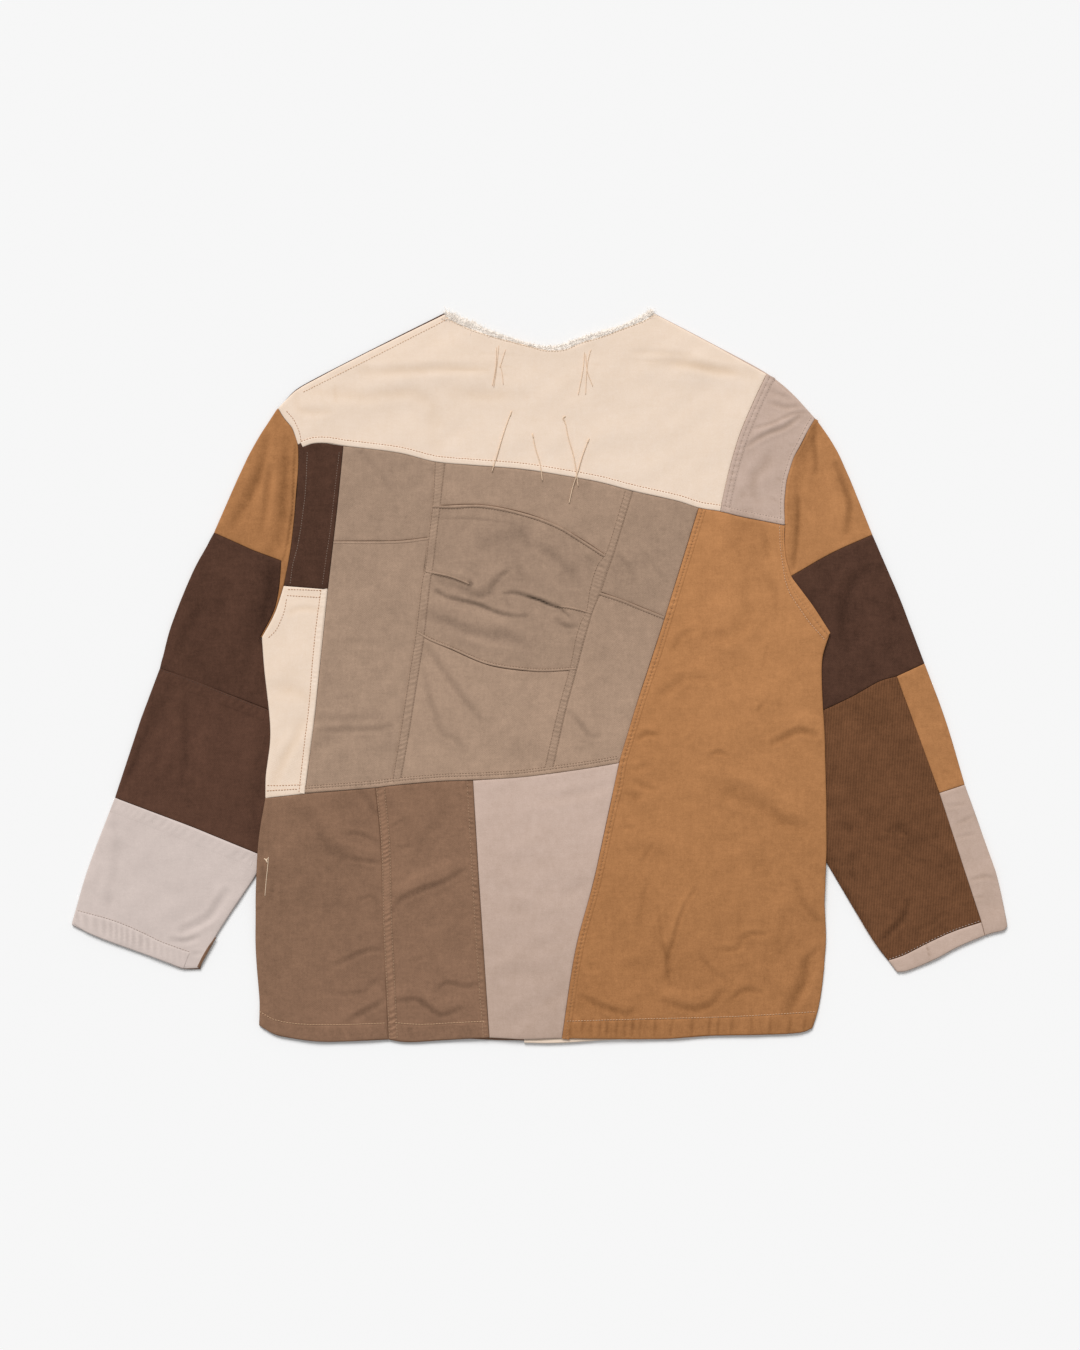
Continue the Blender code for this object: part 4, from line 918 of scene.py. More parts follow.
def add_stitches(name, thread, relief, rows, pitch=3.0, length=2.4, radius=0.33):
    """Rows of stitches: short thread capsules along lines of photo pixels, each with its lift."""
    rng = random.Random(name)
    points = []
    faces = []
    for line, lift in rows:
        curve = resampled(spline([at(*p) for p in line], LINE_STEP), pitch)
        middles = [(p + q) / 2 for p, q in zip(curve, curve[1:])]
        heights = relief.height(np.array(middles)) + lift
        for middle, height, p, q in zip(middles, heights, curve, curve[1:]):
            along = (q - p) / np.linalg.norm(q - p)
            aside = np.array([-along[1], along[0]])
            size = length * rng.uniform(*STITCH_LENGTHS)
            drift = rng.uniform(-STITCH_DRIFT, STITCH_DRIFT)
            faces += tube_faces(len(points), len(STITCH_RINGS), THREAD_SIDES)
            for share, thick, rise in STITCH_RINGS:
                beside = drift + rng.uniform(-STITCH_KINK, STITCH_KINK)
                centre = middle + along * size * share + aside * beside
                level = height + radius * rise
                points += ring_points(centre, aside, level, radius * thick, THREAD_SIDES)
    add_mesh(name, points, faces, THREADS[thread])


def add_threads(name, thread, relief, lines):
    """Loose threads: tubes of a radius along lines of (x, y in photo pixels, height over the cloth)."""
    points = []
    faces = []
    for radius, line in lines:
        flat = resampled(spline([at(x, y) for x, y, _ in line], THREAD_STEP), THREAD_STEP)
        marks = np.linspace(0.0, 1.0, len(line))
        lifts = np.interp(np.linspace(0.0, 1.0, len(flat)), marks, [lift for _, _, lift in line])
        heights = relief.height(np.array(flat)) + lifts
        faces += tube_faces(len(points), len(flat), THREAD_SIDES)
        for i, (spot, height) in enumerate(zip(flat, heights)):
            before, after = flat[max(i - 1, 0)], flat[min(i + 1, len(flat) - 1)]
            along = (after - before) / np.linalg.norm(after - before)
            aside = np.array([-along[1], along[0]])
            points += ring_points(spot, aside, height, radius, THREAD_SIDES)
    add_mesh(name, points, faces, THREADS[thread])


def add_fray(name, relief, edge, tips, count):
    """The raw neck edge: a ragged strip of bare weave, and the loose threads that stand out of it.

    Some of the threads stand in a tuft at each end, where the weave is torn the most.
    """
    rng = random.Random(name)
    a, b, _ = paired(edge, tips)
    last = len(a) - 1.001
    points = []
    tones = []
    for root, tip in zip(a, b):
        level = float(relief.base(root[None, :])[0])
        ragged = rng.uniform(*WEAVE_RAGGED)
        for share in WEAVE_SHARES:
            spot = root + (tip - root) * (share if share < 0.5 else share * ragged)
            lift = WEAVE_LIFT - WEAVE_FALL * share if share > 0.0 else -WEAVE_SINK
            height = level + lift + rng.uniform(-WEAVE_ROUGH, WEAVE_ROUGH)
            points.append((spot[0], spot[1], height))
            tones.append(rng.choice(WEAVE_TONES))
    faces = strip_faces(len(a), len(WEAVE_SHARES), points)
    for number in range(count):
        tuft = number % TUFT_EVERY == 0
        place = rng.uniform(0.0, TUFT_STEPS) if tuft else rng.uniform(0.0, last)
        if number % (2 * TUFT_EVERY) == 0:
            place = last - place
        index = int(place)
        root = a[index] + (a[index + 1] - a[index]) * (place - index)
        run = b[index] - a[index]
        width = np.linalg.norm(run)
        out = run / width
        aside = np.array([-out[1], out[0]])
        root = root + out * rng.uniform(-FRAY_ROOT, 0.5 * width)
        reach = width * rng.uniform(*FRAY_REACH) * rng.choice(FRAY_STRETCH)
        if tuft:
            reach *= TUFT_REACH
        heading = rng.gauss(0.0, TUFT_TURN if tuft else FRAY_TURN)
        curl = rng.gauss(0.0, FRAY_CURL)
        radius = rng.uniform(*FRAY_RADIUS)
        level = float(relief.base(root[None, :])[0]) + rng.uniform(0.0, FRAY_LEVEL)
        lift = rng.uniform(*FRAY_LIFT)
        tones += [rng.choice(FRAY_TONES)] * (FRAY_RINGS * FRAY_SIDES)
        faces += tube_faces(len(points), FRAY_RINGS, FRAY_SIDES)
        spot = root.copy()
        for share in np.linspace(0.0, 1.0, FRAY_RINGS):
            direction = out * math.cos(heading) + aside * math.sin(heading)
            across = np.array([-direction[1], direction[0]])
            wave = FRAY_WAVE * math.sin(3.0 * share + number)
            height = max(FRAY_FLOOR, level + lift * share + wave)
            points += ring_points(spot, across, height, radius, FRAY_SIDES)
            spot = spot + direction * reach / (FRAY_RINGS - 1)
            heading += curl / (FRAY_RINGS - 2)
    return add_mesh(name, points, faces, MATERIALS["raw"], tones)


def new_material(name, roughness, specular):
    """A material, its node tree and its shader."""
    material = bpy.data.materials.new(name)
    material.use_nodes = True
    shader = material.node_tree.nodes["Principled BSDF"]
    shader.inputs["Roughness"].default_value = roughness
    shader.inputs["Specular IOR Level"].default_value = specular
    return material, material.node_tree, shader


def cloth_material(name, colour, slub, twill=None, wale=None, warmth=0.0):
    """Matt cotton: uneven dye, slubs, a fine weave, and the tone painted on the mesh, which holds
    painted shade and painted highlight.

    Slub is how uneven it is. Twill and wale are the angle of its ribs, their pitch in millimetres and
    their tone. Warmth is how much further its blue falls, and how much less its red, where the cloth
    darkens, in painted shade as in darker slubs.
    """
    material, tree, shader = new_material(name, roughness=0.95, specular=0.08)
    nodes = tree.nodes
    links = tree.links
    where = nodes.new("ShaderNodeTexCoord").outputs["Object"]

    def noise(scale, detail, roughness, stretch):
        node = nodes.new("ShaderNodeTexNoise")
        node.inputs["Scale"].default_value = scale
        node.inputs["Detail"].default_value = detail
        node.inputs["Roughness"].default_value = roughness
        source = where
        if stretch:
            squeeze = nodes.new("ShaderNodeMapping")
            squeeze.inputs["Scale"].default_value = stretch
            links.new(where, squeeze.inputs["Vector"])
            source = squeeze.outputs[0]
        links.new(source, node.inputs["Vector"])
        return node.outputs["Fac"]

    def math_node(operation, a, b):
        node = nodes.new("ShaderNodeMath")
        node.operation = operation
        for socket, value in zip(node.inputs, (a, b)):
            if isinstance(value, float):
                socket.default_value = value
            else:
                links.new(value, socket)
        return node.outputs[0]

    if wale or twill:
        angle, pitch, depth = wale or twill
        turn = nodes.new("ShaderNodeMapping")
        turn.inputs["Rotation"].default_value[2] = math.radians(angle)
        links.new(where, turn.inputs["Vector"])
        ribs = nodes.new("ShaderNodeTexWave")
        ribs.inputs["Scale"].default_value = wave_scale(pitch)
        for socket in ("Distortion", "Detail", "Detail Scale"):
            ribs.inputs[socket].default_value = 1.0
        links.new(turn.outputs[0], ribs.inputs["Vector"])
        weave = ribs.outputs["Fac"]
    else:
        weave = noise(*PLAIN_WEAVE)
        depth = PLAIN_DEPTH * slub
    fleck = noise(*FLECK)
    # the tone painted on the mesh, which holds painted shade and painted highlight
    painted = nodes.new("ShaderNodeAttribute")
    painted.attribute_name = "tone"
    level = math_node("ADD", 1.0, painted.outputs["Fac"])
    parts = [(noise(*kind), share * slub) for kind, share in SLUB_SHARES]
    for fac, amount in [*parts, (fleck, FLECK_SHARE * slub), (weave, depth)]:
        centred = math_node("SUBTRACT", fac, 0.5)
        level = math_node("ADD", level, math_node("MULTIPLY", centred, amount))
    tint = nodes.new("ShaderNodeMix")
    tint.data_type = "RGBA"
    tint.blend_type = "MULTIPLY"
    tint.inputs["Factor"].default_value = 1.0
    tint.inputs["A"].default_value = (*colour, 1.0)
    channels = nodes.new("ShaderNodeCombineColor")
    for channel, bend in WARM_BENDS:
        links.new(math_node("POWER", level, 1.0 + bend * warmth), channels.inputs[channel])
    links.new(channels.outputs["Color"], tint.inputs["B"])
    links.new(tint.outputs["Result"], shader.inputs["Base Color"])
    bump = nodes.new("ShaderNodeBump")
    bump.inputs["Strength"].default_value = BUMP_STRENGTH
    bump.inputs["Distance"].default_value = CORD_BUMP if wale else WEAVE_BUMP
    links.new(math_node("ADD", weave, math_node("MULTIPLY", fleck, FLECK_BUMP)), bump.inputs["Height"])
    links.new(bump.outputs["Normal"], shader.inputs["Normal"])
    return material


def thread_material(name, colour):
    """Matt spun thread, its tone uneven along its length."""
    material, tree, shader = new_material(name, roughness=0.75, specular=0.25)
    fleck = tree.nodes.new("ShaderNodeTexNoise")
    fleck.inputs["Scale"].default_value = THREAD_FLECK
    tree.links.new(tree.nodes.new("ShaderNodeTexCoord").outputs["Object"], fleck.inputs["Vector"])
    tint = tree.nodes.new("ShaderNodeMix")
    tint.data_type = "RGBA"
    tint.inputs["A"].default_value = (*[c * THREAD_DARK for c in colour], 1.0)
    tint.inputs["B"].default_value = (*[min(1.0, c * THREAD_PALE) for c in colour], 1.0)
    tree.links.new(fleck.outputs["Fac"], tint.inputs["Factor"])
    tree.links.new(tint.outputs["Result"], shader.inputs["Base Color"])
    return material


def wave_scale(pitch):
    """The Wave texture's scale that puts its bands one pitch apart, in millimetres."""
    return 2.0 * math.pi / (20.0 * pitch * MM)


def add_camera():
    """Straight down on the jacket, framed as the photo is."""
    camera = bpy.data.objects.new("camera", bpy.data.cameras.new("camera"))
    bpy.context.scene.collection.objects.link(camera)
    camera.data.lens = LENS
    camera.data.sensor_width = SENSOR
    camera.data.sensor_fit = "AUTO"
    view_height = PHOTO_SIZE[1] * PIXEL * MM
    x, y = at(PHOTO_SIZE[0] / 2, PHOTO_SIZE[1] / 2)
    camera.location = (x * MM, y * MM, view_height * LENS / SENSOR)
    bpy.context.scene.camera = camera


def add_studio():
    """A pale floor, an even pale surround and one wide soft lamp beyond the neck."""
    mesh = bpy.data.meshes.new("floor")
    corners = [
        (x * FLOOR_HALF, y * FLOOR_HALF, FLOOR_LEVEL) for x, y in ((-1, -1), (1, -1), (1, 1), (-1, 1))]
    mesh.from_pydata(corners, [], [(0, 1, 2, 3)])
    floor = bpy.data.objects.new("floor", mesh)
    bpy.context.scene.collection.objects.link(floor)
    paper, _, shader = new_material("paper", roughness=1.0, specular=0.0)
    shader.inputs["Base Color"].default_value = (FLOOR_GREY, FLOOR_GREY, FLOOR_GREY, 1.0)
    mesh.materials.append(paper)
    world = bpy.data.worlds.new("studio")
    world.use_nodes = True
    world.node_tree.nodes["Background"].inputs["Color"].default_value = (1.0, 1.0, 1.0, 1.0)
    world.node_tree.nodes["Background"].inputs["Strength"].default_value = SKY_POWER
    bpy.context.scene.world = world
    key = bpy.data.objects.new("key", bpy.data.lights.new("key", "SUN"))
    bpy.context.scene.collection.objects.link(key)
    key.data.energy = KEY_POWER
    key.data.angle = math.radians(KEY_SPREAD)
    key.rotation_euler = Vector(KEY_FROM).to_track_quat("Z", "Y").to_euler()
    bpy.context.scene.view_settings.view_transform = "Standard"


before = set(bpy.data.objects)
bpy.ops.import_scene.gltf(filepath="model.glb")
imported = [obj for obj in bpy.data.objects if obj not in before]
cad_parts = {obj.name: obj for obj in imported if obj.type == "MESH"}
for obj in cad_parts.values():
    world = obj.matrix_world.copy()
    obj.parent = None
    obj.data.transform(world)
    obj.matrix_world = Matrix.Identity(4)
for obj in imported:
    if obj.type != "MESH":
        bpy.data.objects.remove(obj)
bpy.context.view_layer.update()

MATERIALS = {
    "cream": cloth_material(
        "cream_cloth", (0.845, 0.68, 0.545), 0.09, twill=(35, 1.1, 0.02), warmth=0.9),
    "mauve": cloth_material("mauve_cloth", (0.512, 0.379, 0.309), 0.22, warmth=0.3),
    "pale": cloth_material("pale_cloth", (0.627, 0.530, 0.488), 0.15),
    "taupe": cloth_material("taupe_cloth", (0.370, 0.253, 0.180), 0.42, twill=(40, 1.3, 0.05)),
    "tan": cloth_material("tan_cloth", (0.420, 0.192, 0.076), 0.42, warmth=0.15),
    "brown": cloth_material("brown_cloth", (0.244, 0.139, 0.087), 0.5, twill=(-40, 1.3, 0.06)),
    "dark": cloth_material("dark_cloth", (0.080, 0.038, 0.0245), 0.75, twill=(50, 1.3, 0.08)),
    "cord": cloth_material("cord_cloth", (0.148, 0.065, 0.030), 0.7, wale=(4.0, 2.75, 0.24)),
    "raw": cloth_material("raw_threads", (0.97, 0.89, 0.81), 0.1),
}
THREADS = {
    name: thread_material("thread_" + name, colour) for name, colour in (
        ("taupe", (0.27, 0.18, 0.125)),
        ("gold", (0.42, 0.2, 0.09)),
        ("dusty", (0.36, 0.28, 0.23)),
        ("tan", (0.36, 0.19, 0.09)),
        ("dark", (0.1, 0.055, 0.04)),
        ("pale", (0.52, 0.42, 0.37)),
        ("light", (0.62, 0.4, 0.25)),
        ("dull", (0.42, 0.27, 0.17)),
        ("cream", (0.8, 0.62, 0.45)),
        ("hand", (0.78, 0.58, 0.41)))}

# Change of tone of a piece at its neck end and at its hem end
SHADES = {
    "back_yoke": (0.0, 0.02), "back_yoke_end": (0.06, 0.06), "back_strip_dark": (0.0, -0.02),
    "taupe_left_upper": (0.0, 0.01), "taupe_left_lower": (0.02, 0.05), "taupe_top": (0.04, 0.02),
    "taupe_knee": (-0.045, 0.02), "taupe_low": (0.08, 0.12), "taupe_right_upper": (-0.01, -0.03),
    "taupe_right_lower": (0.04, 0.12), "mauve_low": (0.17, -0.08), "tan_right": (0.16, -0.12),
    "brown_left": (0.02, 0.02), "brown_right": (0.05, 0.05),
    "sleeve_l_cap": (-0.05, -0.02), "sleeve_l_upper": (0.08, 0.1), "sleeve_l_lower": (0.26, 0.3),
    "sleeve_r_cap": (0.06, 0.08), "sleeve_r_dark": (0.04, 0.02), "sleeve_r_strip_tan": (0.0, 0.0),
    "sleeve_r_band": (0.05, 0.05)}
CLOTH_OF = {
    "back_yoke": "cream", "back_yoke_end": "mauve", "back_strip_dark": "dark",
    "back_strip_cream": "cream", "taupe_left_upper": "taupe", "taupe_left_lower": "taupe",
    "taupe_top": "taupe", "taupe_knee": "taupe", "taupe_low": "taupe", "taupe_right_upper": "taupe",
    "taupe_right_lower": "taupe", "brown_left": "brown", "brown_right": "brown",
    "mauve_low": "mauve", "tan_right": "tan", "front_left_yoke": "dark", "front_left": "brown",
    "front_right_yoke": "mauve", "front_right": "cream", "sleeve_l_cap": "tan",
    "sleeve_l_upper": "dark", "sleeve_l_lower": "dark", "sleeve_l_cuff": "pale",
    "sleeve_l_under": "brown", "sleeve_r_cap": "tan", "sleeve_r_dark": "dark",
    "sleeve_r_cord": "cord", "sleeve_r_strip_tan": "tan", "sleeve_r_strip_mauve": "mauve",
    "sleeve_r_band": "mauve", "sleeve_r_under": "tan",
}

# Edges where the cloth runs round to the layer below, in millimetres of the row's frame
SIDES = [
    [(-284.8, 36.0), (-282.2, 5.7), (-276.0, -61.3), (-280.7, -103.5), (-281.2, -126.2),
     (-288.4, -171.5), (-291.5, -276.6), (-287.4, -337.3), (-287.9, -358.0)],
    [(281.4, -361.0), (286.3, -346.6), (290.5, -325.0), (295.1, -272.4), (293.6, -234.3),
     (295.6, -171.5), (293.6, -61.3), (291.0, -14.9), (291.5, 19.1), (298.0, 40.0)]]
SHOULDERS = [
    [(-95.8, 375.4), (-165.8, 340.4), (-225.6, 309.5), (-252.8, 293.8), (-268.8, 275.2)],
    [(116.7, 375.2), (183.3, 340.4), (239.0, 309.5), (261.6, 290.6), (284.4, 264.6)]]
# The same shoulders in photo pixels: the outer edge of the rolled cloth, and the back's edge
SHOULDER_FRONT = [
    [(447.0, 312.6), (378.9, 346.3), (320.9, 376.2), (294.6, 391.2), (279.0, 408.7)],
    [(652.4, 312.4), (716.9, 346.2), (771.0, 376.2), (792.9, 394.4), (815.3, 419.3)]]
SHOULDER_BACK = [
    [(447.9, 314.8), (380.2, 348.0), (322.4, 377.8), (296.4, 392.7), (280.0, 409.4)],
    [(651.4, 313.8), (715.9, 347.9), (766.4, 375.9), (785.9, 392.6), (804.0, 407.8), (815.0, 420.0)]]
SLEEVE_EDGES = [
    [(-270.0, 273.0), (-295.6, 232.3), (-334.4, 146.8), (-390.1, 7.3), (-409.9, -45.8),
     (-436.3, -125.9), (-464.5, -200.3), (-480.0, -253.0)],
    [(-349.5, -298.5), (-331.7, -266.3), (-289.7, -202.4), (-280.9, -186.9)],
    [(285.4, 262.5), (305.9, 232.3), (332.7, 170.5), (343.0, 144.7), (396.6, 12.3), (438.0, -112.4),
     (481.3, -255.0)],
    [(294.9, -190.0), (359.8, -293.3), (367.5, -303.2)]]

front = Relief(FRONTS, [])
back = Relief(BACK, BACK_STROKES, rumple=0.22, closed=SIDES, under=front)
sleeve = Relief(SLEEVES, SLEEVE_STROKES, rumple=0.3, closed=SLEEVE_EDGES, under=Relief(UNDERS, []))
for node in BACK:
    add_shell(node, back, TOP_WALL, PITCH)
for node in SLEEVES:
    add_shell(node, sleeve, TOP_WALL, PITCH)
for node in FRONTS:
    layer = Relief([node], FRONT_STROKES, closed=SIDES + SHOULDERS)
    add_shell(node, layer, FLOOR_WALL, HIDDEN_PITCH, floor_side=True)
for node in UNDERS:
    layer = Relief([node], UNDER_STROKES, closed=SLEEVE_EDGES)
    add_shell(node, layer, FLOOR_WALL, HIDDEN_PITCH, floor_side=True)
add_shoulder("shoulder_left", "front_left_yoke", SHOULDER_FRONT[0], SHOULDER_BACK[0])
add_shoulder("shoulder_right", "front_right_yoke", SHOULDER_FRONT[1], SHOULDER_BACK[1])

# Seams, hems and the neck edge, in photo pixels
NECK = [
    (449, 319), (470, 329), (498.5, 338), (525.6, 345), (548, 350.5), (565.5, 349), (578, 343),
    (602, 336.5), (624.5, 327.7), (643.6, 320.5), (653, 315)]
FRAY_TIPS = [
    (445.5, 310.5), (452.3, 313.6), (470, 320.5), (498.5, 333.3), (525.6, 342), (541.6, 345.7),
    (551, 345.7), (570, 341), (589.4, 334), (621, 325), (637, 317), (652, 308.5)]
KNEE_TOP = [
    (432.7, 505.3), (451, 505.8), (475.5, 504.8), (491.8, 506.3), (508.2, 509.4), (527.6, 514.5),
    (540, 518.3), (560.4, 526.9), (580.8, 539.2), (605.3, 555)]
KNEE_LOW = [
    (416.3, 632.9), (430.6, 641), (451, 649.2), (486.7, 664.3), (520, 670), (543, 671.7), (575.7, 670)]
YOKE_LOW = [
    (303, 447.5), (313, 444), (327, 443.5), (343, 446), (400, 453.4), (435, 462), (471, 465.4),
    (522, 469.5), (558, 475), (598.6, 482.3), (632.3, 491), (680, 502), (698.5, 508), (720, 511.4)]
YOKE_END_LOW = [(720.3, 511.4), (737, 515.8), (783, 525.2)]
YOKE_END_SEAM = [(766.6, 374.4), (753.7, 401.6), (739, 437), (728, 475), (720, 511.4)]
FELL_LEFT = [
    (435.3, 462.5), (433.4, 500), (429, 537.4), (425.5, 569), (423, 578.8), (416.3, 632.9), (410, 673),
    (399, 744), (392.2, 784.5)]
FELL_LEFT_INNER = [
    (444.9, 463.5), (440.8, 500), (436.4, 537.4), (432.6, 569), (430.6, 578.8), (424.5, 632.9),
    (418.4, 673), (407, 744), (399.7, 784)]
FELL_RIGHT_INNER = [
    (625.2, 491.2), (604.8, 555.5), (598.2, 563.7), (590, 588), (586.4, 611.6), (580.8, 622.3),
    (575.7, 639), (570.5, 665.9), (559, 707.3), (543.5, 773.8)]
FELL_RIGHT = [
    (632.3, 491.5), (611.4, 559.6), (609.4, 564.7), (600.2, 592), (591.5, 612.7), (588.9, 622.3),
    (583.9, 639), (576.3, 668.2), (564.8, 711.8), (551.6, 772.7)]
TAUPE_LOW = [
    (305.7, 792.8), (375.8, 787.6), (392, 785.5), (444, 781), (473, 780), (520, 777.3), (551.6, 773.3),
    (588.9, 768.1), (618.7, 762.9)]
TAN_EDGE = [
    (698.8, 508.3), (665, 617.2), (653.2, 655.6), (639.4, 695.8), (626.8, 737), (619.3, 762.4),
    (615.3, 786.5), (610, 807), (593.7, 881), (576, 948), (562, 1038)]
FLANK = [(599.7, 592.2), (621.6, 599.4), (642, 607.6), (664.5, 616.7)]
COLUMN = [(333.8, 541.4), (400, 540.8), (429, 537.4)]
BROWN_FELL = [(375.8, 788.5), (380.8, 842), (383, 924), (387, 1005), (388.6, 1038.5)]
BROWN_EDGE = [(473, 780.5), (479, 888), (485, 983), (489.2, 1036.5)]
MID_SEAM = [(161.5, 668.8), (193, 680), (233.5, 696), (267.5, 709.3)]
HEM_BROWN_RIGHT = [(389.5, 1038.8), (405, 1041.3), (444, 1039.5), (488, 1037)]
HEM_BROWN_RIGHT_STITCH = [(389, 1021.8), (420, 1024), (450, 1022.6), (485, 1020.8)]
HEM_TAN = [(563, 1038), (662, 1038.6), (703, 1035.5), (802, 1031.8), (811, 1028)]
HEM_TAN_STITCH = [(566, 1020.6), (642, 1018.6), (723, 1016.5), (770, 1014.2), (815, 1011.4)]
DART_LEFT = [(425.7, 569.8), (432.8, 571.3), (445.5, 574), (455.7, 577), (470, 582.8)]
DART_RIGHT = [(555.2, 605), (566.7, 606), (579.4, 608.6), (591.5, 612.2)]
STRIP_EDGE = [
    (327.7, 588.6), (322.4, 636.6), (318.6, 681), (314, 722.3), (308.6, 763.7), (305.2, 793.4)]
STRIP_ROW = [(321.3, 589.6), (317, 621.3), (313.2, 658), (309.4, 705.5), (304.8, 743.8), (299.4, 792.4)]
HEM_BROWN_LEFT = [(262, 1027), (274, 1033.5), (291.5, 1037.6), (322, 1041.4), (387.5, 1038.8)]
HEM_BROWN_LEFT_STITCH = [(259.5, 1011), (274, 1019), (297, 1023.4), (339.8, 1024.3), (385.3, 1022.7)]
CUFF_L = [(74.5, 923.8), (86, 931.5), (162, 960.2), (183.5, 968.4)]
CUFF_L_STITCH = [(77.5, 910), (116, 920.7), (144, 932.6), (161, 941), (190, 951.5)]
CUFF_L_SEAM = [(115.5, 798.4), (153.5, 812.8), (197.9, 830.6), (256, 853.4)]
CUFF_L_FACING = [(216.4, 937.4), (211.4, 946.5), (205.1, 957.8), (199.8, 967.6)]
CUFF_L_FACING_INNER = [(215.6, 936.8), (208.3, 946.5), (202.6, 956), (197.4, 966.6)]
ARMHOLE_MAUVE = [
    (814.4, 418.7), (807.7, 429.8), (799.2, 446.1), (793.2, 457.2), (788.9, 470.1), (785.9, 481.3),
    (784.6, 492.4), (783.7, 503.6), (784, 524.1)]
ARMHOLE_TAN = [
    (784.3, 525.4), (783.6, 533.4), (784.1, 545.8), (785.6, 559.3), (788, 568.8), (790.5, 576.5),
    (798, 587.1), (812.4, 606.7), (829.3, 633)]
ARMHOLE_TAN_ROW = [
    (779.2, 526), (779.6, 535), (779.8, 543.7), (781.4, 558), (783, 568), (784.4, 578), (789, 592.5),
    (800, 609.7), (808.7, 622.2), (824.5, 640)]
ARMHOLE_TAN_INNER = [
    (781.9, 529.4), (781.9, 546.6), (783.8, 562.8), (786.7, 576.2), (792.4, 589.6), (800, 601.1),
    (811.5, 616.4), (821.1, 627.9), (826.9, 634)]

for side, outer, inner, turn in (
        ("left", FELL_LEFT, FELL_LEFT_INNER, 1.0), ("right", FELL_RIGHT, FELL_RIGHT_INNER, -1.0)):
    add_band(
        "fell_" + side, back, "taupe_top", offset_line(outer, turn), offset_line(inner, -turn), 0.45,
        (0.12, 0.88), (0.28, 4.6), (-0.01, 0.12, -0.16), (0.25, 0.25))
add_band(
    "knee_top_edge", back, "taupe_knee", KNEE_TOP, 3.2, 0.8, (0.85,), (0.05, 7.0), (0.08, 0.03, -0.14),
    (0.5, 0.3))
add_band(
    "knee_low_edge", back, "taupe_knee", KNEE_LOW, -3.2, 0.8, (0.85,), (0.05, 7.0), (0.08, 0.03, -0.14),
    (0.5, 0.3))
add_band(
    "dart_left", back, "taupe_knee", DART_LEFT, 3.0, 0.75, (0.12, 0.88), (0.04, 7.0), (0.1, 0.03, -0.2),
    (0.3, 0.4))
add_band(
    "dart_right", back, "taupe_knee", DART_RIGHT, 2.6, 0.75, (0.12, 0.88), (0.04, 7.0),
    (0.08, 0.03, -0.2), (0.3, 0.4))
add_band(
    "flank_edge", back, "taupe_right_upper", FLANK, 3.0, 0.5, (0.9,), (0.04, 7.0), (0.04, 0.03, -0.08))
add_band("column_edge", back, "taupe_left_upper", COLUMN, 2.6, 0.35, (), (0.05, 9.0), (0.08, 0.02, 0.0))
add_band(
    "taupe_low_edge", back, "taupe_low", TAUPE_LOW, -7.4, 0.55, (0.6, 0.93), (0.12, 6.0),
    (0.03, 0.05, -0.06))
add_band(
    "yoke_low_edge", back, "back_yoke", YOKE_LOW, -6.8, 0.6, (0.88,), (0.06, 9.0), (0.0, 0.012, 0.0))
add_band(
    "yoke_end_low_edge", back, "back_yoke_end", YOKE_END_LOW, -6.8, 0.6, (0.88,), (0.1, 8.0),
    (0.0, 0.03, 0.0))
add_band(
    "yoke_end_fell", back, "back_yoke_end", YOKE_END_SEAM, -9.5, 0.4, (0.4, 0.85), (0.14, 6.5),
    (0.0, 0.05, -0.04))
add_band(
    "strip_edge", back, "back_strip_cream", STRIP_EDGE, STRIP_ROW, 0.4, (0.97,), (0.15, 5.5),
    (0.03, 0.025, 0.0), (0.35, 0.12))
add_band("tan_edge", back, "tan_right", TAN_EDGE, -7.5, 0.5, (0.5,), (0.25, 5.0), (0.03, 0.12, -0.06))
add_band(
    "brown_fell", back, "brown_right", BROWN_FELL, -10.0, 0.6, (0.12, 0.88), (0.38, 4.6),
    (0.14, 0.24, -0.2), (0.5, 0.3))
add_band(
    "brown_edge", back, "brown_right", BROWN_EDGE, 8.0, 0.5, (0.72,), (0.35, 5.2), (-0.02, 0.17, -0.04))
add_band(
    "hem_brown_left", back, "brown_left", HEM_BROWN_LEFT, HEM_BROWN_LEFT_STITCH, 0.5, (0.97,),
    (0.12, 12.0), (0.0, 0.03, -0.05))
add_band(
    "hem_brown_right", back, "brown_right", HEM_BROWN_RIGHT, HEM_BROWN_RIGHT_STITCH, 0.5, (0.97,),
    (0.15, 9.0), (-0.04, 0.05, -0.05))
add_band(
    "hem_tan", back, "tan_right", HEM_TAN, HEM_TAN_STITCH, 0.5, (0.97,), (0.1, 11.0),
    (-0.02, 0.03, -0.08))
add_band(
    "yoke_end_armhole", back, "back_yoke_end", offset_line(ARMHOLE_MAUVE, -0.45),
    offset_line(ARMHOLE_MAUVE, 4.6), 0.3, (0.75,), (0.14, 4.8), (0.05, 0.05, -0.05), (0.2, 0.1))
add_band(
    "tan_armhole", back, "tan_right", offset_line(ARMHOLE_TAN, -0.45), ARMHOLE_TAN_ROW, 0.4,
    (0.45, 0.95), (0.12, 5.0), (0.07, 0.05, -0.1), (0.2, 0.15))
add_band(
    "cap_armhole", sleeve, "sleeve_r_cap", offset_line(ARMHOLE_MAUVE, -0.6),
    offset_line(ARMHOLE_MAUVE, -4.4), 0.2, (0.8,), (0.05, 6.0), (0.1, 0.03, -0.06), (0.1, 0.1))
add_band(
    "sleeve_fell", sleeve, "sleeve_l_lower", MID_SEAM, 12.5, 0.25, (0.05,), (0.2, 6.5),
    (0.0, 0.09, -0.1), (0.3, 0.0))
add_band(
    "cuff_left_hem", sleeve, "sleeve_l_cuff", CUFF_L, CUFF_L_STITCH, 0.45, (0.97,), (0.28, 7.5),
    (0.0, 0.075, 0.0))
